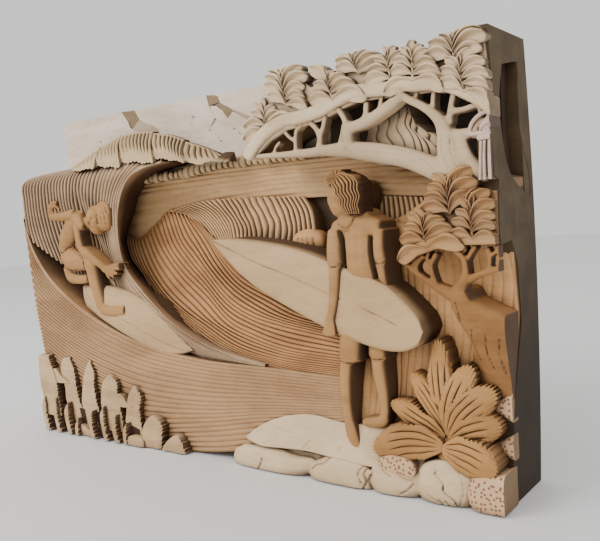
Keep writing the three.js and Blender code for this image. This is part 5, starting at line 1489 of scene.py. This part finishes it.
# Rocks dotted all over, at the right edge and behind the left stone
dottedRocks = fuse(joinAll("dottedRocks", [
    rockBody([(357, -224), (368, -213), (390, -213), (412, -213), (412, -262), (388, -264), (366, -262), (355, -246)],
             84, 126, 7),
    rockBody([(246, -216), (262, -208), (286, -210), (295, -220), (290, -231), (270, -230), (252, -226)], 100, 125.5, 3),
    rockBody([(374, -150), (386, -138), (404, -131), (412, -146), (404, -164), (386, -158)], 74, 91, 3),
    rockBody([(374, -193), (386, -183), (404, -176), (412, -188), (404, -206), (386, -200)], 76, 92, 3),
]), 1.4, 1)
setAttribute(dottedRocks, "pits", np.zeros(len(dottedRocks.data.vertices)))
applyNodes(dottedRocks, pittedTree, {**plainRock, "Rough": 0.8 * mm, "Seed": 9.0, "Material": dottedWood})
trimToSlab(dottedRocks)
finishPiece(dottedRocks, dottedWood, 50)

# A bush on the far shore and a low mound beside it
bushParts = [domeBody(118, 38, 64, 27, 17, 40, crown=0.7), domeBody(254, 46, 66, 22, 12, 40, crown=0.6)]
bushBody = fuse(joinAll("bush", bushParts), 2.0, 2)
incise(bushBody, [([(x, 42), (x + 1, 30), (x, 20)], 2.2, 3.4) for x in (106, 114, 122, 130)])
finishPiece(bushBody, bankWood, 60)

# The shrub: long fluted leaves that widen from the root to rounded, toothed tips
shrub = {"perRib": 12, "rows": 70, "cut": 4.4, "fullness": 0.3, "share": 0.5, "chatter": 0.4, "floor": 66, "teeth": 12,
         "bite": 0.12}
shrubLeaves = [
    ([(327, -176, 104), (304, -142, 103), (281, -116, 97)], 13, 4), ([(328, -176, 103), (320, -128, 103), (318, -74, 98)], 16, 4),
    ([(329, -178, 106), (339, -138, 107), (358, -101, 101)], 18, 4), ([(327, -182, 109), (293, -167, 110), (256, -151, 104)], 14, 4),
    ([(331, -180, 109), (352, -152, 110), (385, -126, 103)], 20, 5), ([(334, -184, 112), (362, -171, 112), (391, -165, 104)], 18, 4),
    ([(328, -190, 116), (286, -190, 121), (238, -206, 119)], 22, 5), ([(328, -192, 118), (358, -197, 124.5), (390, -212, 122)], 22, 5),
]


def makeShrubLeaf(centre, halfWidth, ribs, seed):
    rows = shrub["rows"]
    path = smoothCurve(centre, 200)
    v = np.linspace(0, 1, rows + 1)
    u = np.linspace(-1, 1, ribs * shrub["perRib"] + 1)
    heading = np.gradient(path[:, :2], axis=0)
    heading /= np.linalg.norm(heading, axis=1, keepdims=True)
    width = halfWidth * np.interp(v, [0, 0.12, 0.36, 0.75, 1], [0.2, 0.5, 0.92, 1.05, 0.9])
    notch = (1 - np.abs(np.cos(math.pi * shrub["teeth"] * v))) * smoothStep(v, 0.45, 0.6)
    grid = np.empty((len(u), rows + 1, 3))
    for c, across in enumerate(u):
        reach = 1 - 0.27 * abs(across) ** 2.3 - 0.036 * (1 - abs(math.cos(math.pi * ribs * across)))
        spot = v * reach * 199
        middle = np.stack([np.interp(spot, np.arange(200), path[:, axis]) for axis in range(3)], 1)
        ahead = np.stack([np.interp(spot, np.arange(200), heading[:, axis]) for axis in range(2)], 1)
        edge = 1 - shrub["bite"] * notch * smoothStep(abs(across), 0.6, 1.0)
        grid[c, :, 0] = middle[:, 0] - ahead[:, 1] * across * width * edge
        grid[c, :, 1] = middle[:, 1] + ahead[:, 0] * across * width * edge
        grid[c, :, 2] = np.minimum(middle[:, 2] + 3 - 6 * across**2 * v - 3 * v**8, 126.5)
    fade = smoothStep(v, 0.04, 0.16) * (1 - smoothStep(v, 0.6, 0.85))
    return ribbedBody("shrubLeaf", grid, shrub["floor"], ribs, shrub, shrubWood, strength=fade[None], seed=seed)


shrubParts = [makeShrubLeaf(*leaf, seed=30 + i) for i, leaf in enumerate(shrubLeaves)]
shrubParts.append(limbBody([[330, -174, 106, 7], [330, -188, 113, 12], [330, -204, 116, 16]], shrub["floor"]))
shrubBody = joinAll("shrub", shrubParts)
trimToSlab(shrubBody)
finishPiece(shrubBody, shrubWood, 45)

# Coral: upright blades with flat fronts, finely saw-toothed along their right edges, in two tiers
coral = {"rows": 130, "columns": 9, "teeth": 5.6, "bite": 3.0, "floor": 74, "lowTier": (-196, -214), "recess": 2}
tallBlades = [
    (123, [(-408, -130), (-404, -160), (-394, -200), (-392, -230)], [(-374, -130), (-366, -146), (-356, -170), (-354, -200),
                                                                    (-352, -230)]),
    (118, [(-341, -133), (-348, -152), (-341, -180), (-340, -212), (-330, -236)], [(-325, -131), (-315, -148), (-311, -182),
                                                                                   (-304, -212), (-298, -236)]),
    (118, [(-277, -135), (-290, -156), (-298, -184), (-303, -214), (-300, -240)], [(-273, -134), (-264, -150), (-266, -172),
                                                                                   (-262, -206), (-254, -240)]),
    (119, [(-231, -152), (-246, -168), (-252, -190), (-254, -216), (-250, -240)], [(-226, -152), (-210, -162), (-211, -182),
                                                                                   (-207, -206), (-204, -240)]),
    (117, [(-177, -166), (-190, -182), (-198, -204), (-204, -228), (-200, -250)], [(-172, -166), (-160, -180), (-166, -202),
                                                                                   (-166, -226), (-160, -250)]),
    (120, [(-142, -207), (-156, -222), (-162, -238), (-158, -262)], [(-132, -207), (-117, -218), (-119, -238), (-122, -262)]),
    (121, [(-98, -232), (-112, -244), (-120, -254), (-122, -262)], [(-88, -229), (-78, -240), (-73, -252), (-70, -262)]),
]
lowBlades = [(-387, -198, 17, 125.5), (-357, -198, 16, 125.5), (-326, -203, 17, 126), (-303, -226, 14, 126),
             (-268, -211, 15, 125.5), (-240, -201, 15, 125.5), (-213, -212, 16, 126), (-190, -222, 14, 125.5)]


def makeBlade(front, left, right, seed, recess=0.0):
    rows, columns = coral["rows"], coral["columns"]
    a, b = smoothCurve(left, rows + 1), smoothCurve(right, rows + 1)
    drop = np.linspace(0, left[0][1] - left[-1][1], rows + 1)
    saw = ((drop / coral["teeth"] + seed * 0.37 + 0.22 * np.sin(drop * 0.31 + seed)) % 1.0) * smoothStep(drop, 3, 14)
    grid = np.empty((columns + 1, rows + 1, 3))
    for c, across in enumerate(np.linspace(0, 1, columns + 1)):
        outer = smoothStep(across, 0.7, 1.0)
        grid[c, :, :2] = a * (1 - across) + b * across
        grid[c, :, 0] -= coral["bite"] * saw * outer
        grid[c, :, 2] = front - 1.4 * abs(2 * across - 1) ** 8 - 3 * np.clip(1 - drop / 6, 0, 1) ** 2
        grid[c, :, 2] += 0.6 * math.cos(across * 9 + seed)
        grid[c, :, 2] -= recess * smoothStep(-grid[c, :, 1], -coral["lowTier"][0], -coral["lowTier"][1])

    def straightFoot(cells, columnCount, rowCount):
        return np.array([(coral["bite"] * saw[r] if c == columnCount - 1 else 0, 0) for c, r in cells])

    return gridBody("blade", grid, coral["floor"], lean=straightFoot)


blades = [makeBlade(*blade, i, coral["recess"] if i < 5 else 0) for i, blade in enumerate(tallBlades)]
for i, (x, head, wide, front) in enumerate(lowBlades):
    left = [(x, head), (x - 0.62 * wide, head - 15), (x - 0.55 * wide, head - 32), (x - 0.1 * wide, -263)]
    right = [(x + 1.5, head), (x + 0.12 * wide, head - 13), (x + 0.16 * wide, head - 30), (x + 0.7 * wide, -263)]
    blades.append(makeBlade(front, left, right, 9 + i))
blades += [
    prismBody("fin", [(-366, -152), (-358, -151), (-352, -156), (-346, -162), (-324, -172), (-344, -174), (-366, -174)], 80, 120),
    prismBody("fin", [(-214, -180), (-206, -180), (-198, -184), (-194, -191), (-178, -197), (-196, -200), (-214, -200)], 80, 118),
    prismBody("fin", [(-312, -236, 118), (-296, -237, 123), (-270, -247, 124), (-258, -262, 124), (-312, -262, 118)], 80, 124),
    rockBody([(-190, -244), (-172, -240), (-156, -246), (-158, -262), (-190, -262)], 80, 125, 3, square=7),
]
coralBody = joinAll("coral", blades)
coralBase = prismBody("coralBase", [(-408, -206), (-330, -212), (-240, -216), (-170, -232), (-168, -262), (-408, -262)], 80, 115.5)
trimToSlab(coralBase)
finishPiece(coralBase, shadeWood)
setAttribute(coralBody, "pits", np.zeros(len(coralBody.data.vertices)))
applyNodes(coralBody, pittedTree, {**plainRock, "Rough": 0.8 * mm, "Grain": 70.0, "Seed": 8.0, "Material": coralWood})
trimToSlab(coralBody)
finishPiece(coralBody, coralWood, 40)


for piece in allPieces:
    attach(piece, "root")
    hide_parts("carved_panel")

# Floor, light and camera
studio = {
    "floorGap": 0.0006,
    "key": {"spot": (-1.5, -2.3, 1.9), "size": 1.7, "power": 62},
    "fill": {"spot": (1.9, -2.8, 0.6), "size": 2.6, "power": 16},
    "sky": 0.95,
}
floorMesh = newObject("floor", [(-6, -6, 0), (6, -6, 0), (6, 6, 0), (-6, 6, 0)], [(0, 1, 2, 3)])
floorMesh.location = (0, 0, -slab["halfHeight"] * mm - studio["floorGap"])
floorMaterial = bpy.data.materials.new("floor")
floorMaterial.use_nodes = True
floorShader = floorMaterial.node_tree.nodes["Principled BSDF"]
floorShader.inputs["Base Color"].default_value = (0.86, 0.86, 0.85, 1)
floorShader.inputs["Roughness"].default_value = 0.8
floorMesh.data.materials.append(floorMaterial)


def areaLight(name, settings):
    light = bpy.data.lights.new(name, "AREA")
    light.energy = settings["power"]
    light.size = settings["size"]
    lamp = bpy.data.objects.new(name, light)
    spot = Vector(settings["spot"])
    lamp.location = spot
    lamp.rotation_euler = (-spot).to_track_quat("-Z", "Y").to_euler()
    bpy.context.scene.collection.objects.link(lamp)


areaLight("key", studio["key"])
areaLight("fill", studio["fill"])
world = bpy.data.worlds.new("studio")
world.use_nodes = True
background = world.node_tree.nodes["Background"]
background.inputs[0].default_value = (1.0, 0.995, 0.985, 1)
background.inputs[1].default_value = studio["sky"]
bpy.context.scene.world = world

photo = {
    "spot": (0.6879, -0.8561, 0.0741),
    "yaw": math.radians(36.19), "pitch": math.radians(-4.25), "roll": math.radians(-3.63),
    "lens": 44.93,
}
yaw, pitch, roll = photo["yaw"], photo["pitch"], photo["roll"]
ahead = Vector((-math.sin(yaw) * math.cos(pitch), math.cos(yaw) * math.cos(pitch), math.sin(pitch)))
level = Vector((math.cos(yaw), math.sin(yaw), 0))
upright = level.cross(ahead)
rightwards = math.cos(roll) * level + math.sin(roll) * upright
upwards = -math.sin(roll) * level + math.cos(roll) * upright
camera = bpy.data.objects.new("camera", bpy.data.cameras.new("camera"))
camera.data.sensor_width = 36
camera.data.lens = photo["lens"]
camera.data.clip_start = 0.02
facing = Matrix((rightwards, upwards, -ahead)).transposed().to_4x4()
facing.translation = Vector(photo["spot"])
camera.matrix_world = facing
bpy.context.scene.collection.objects.link(camera)
bpy.context.scene.camera = camera
print("stage set")
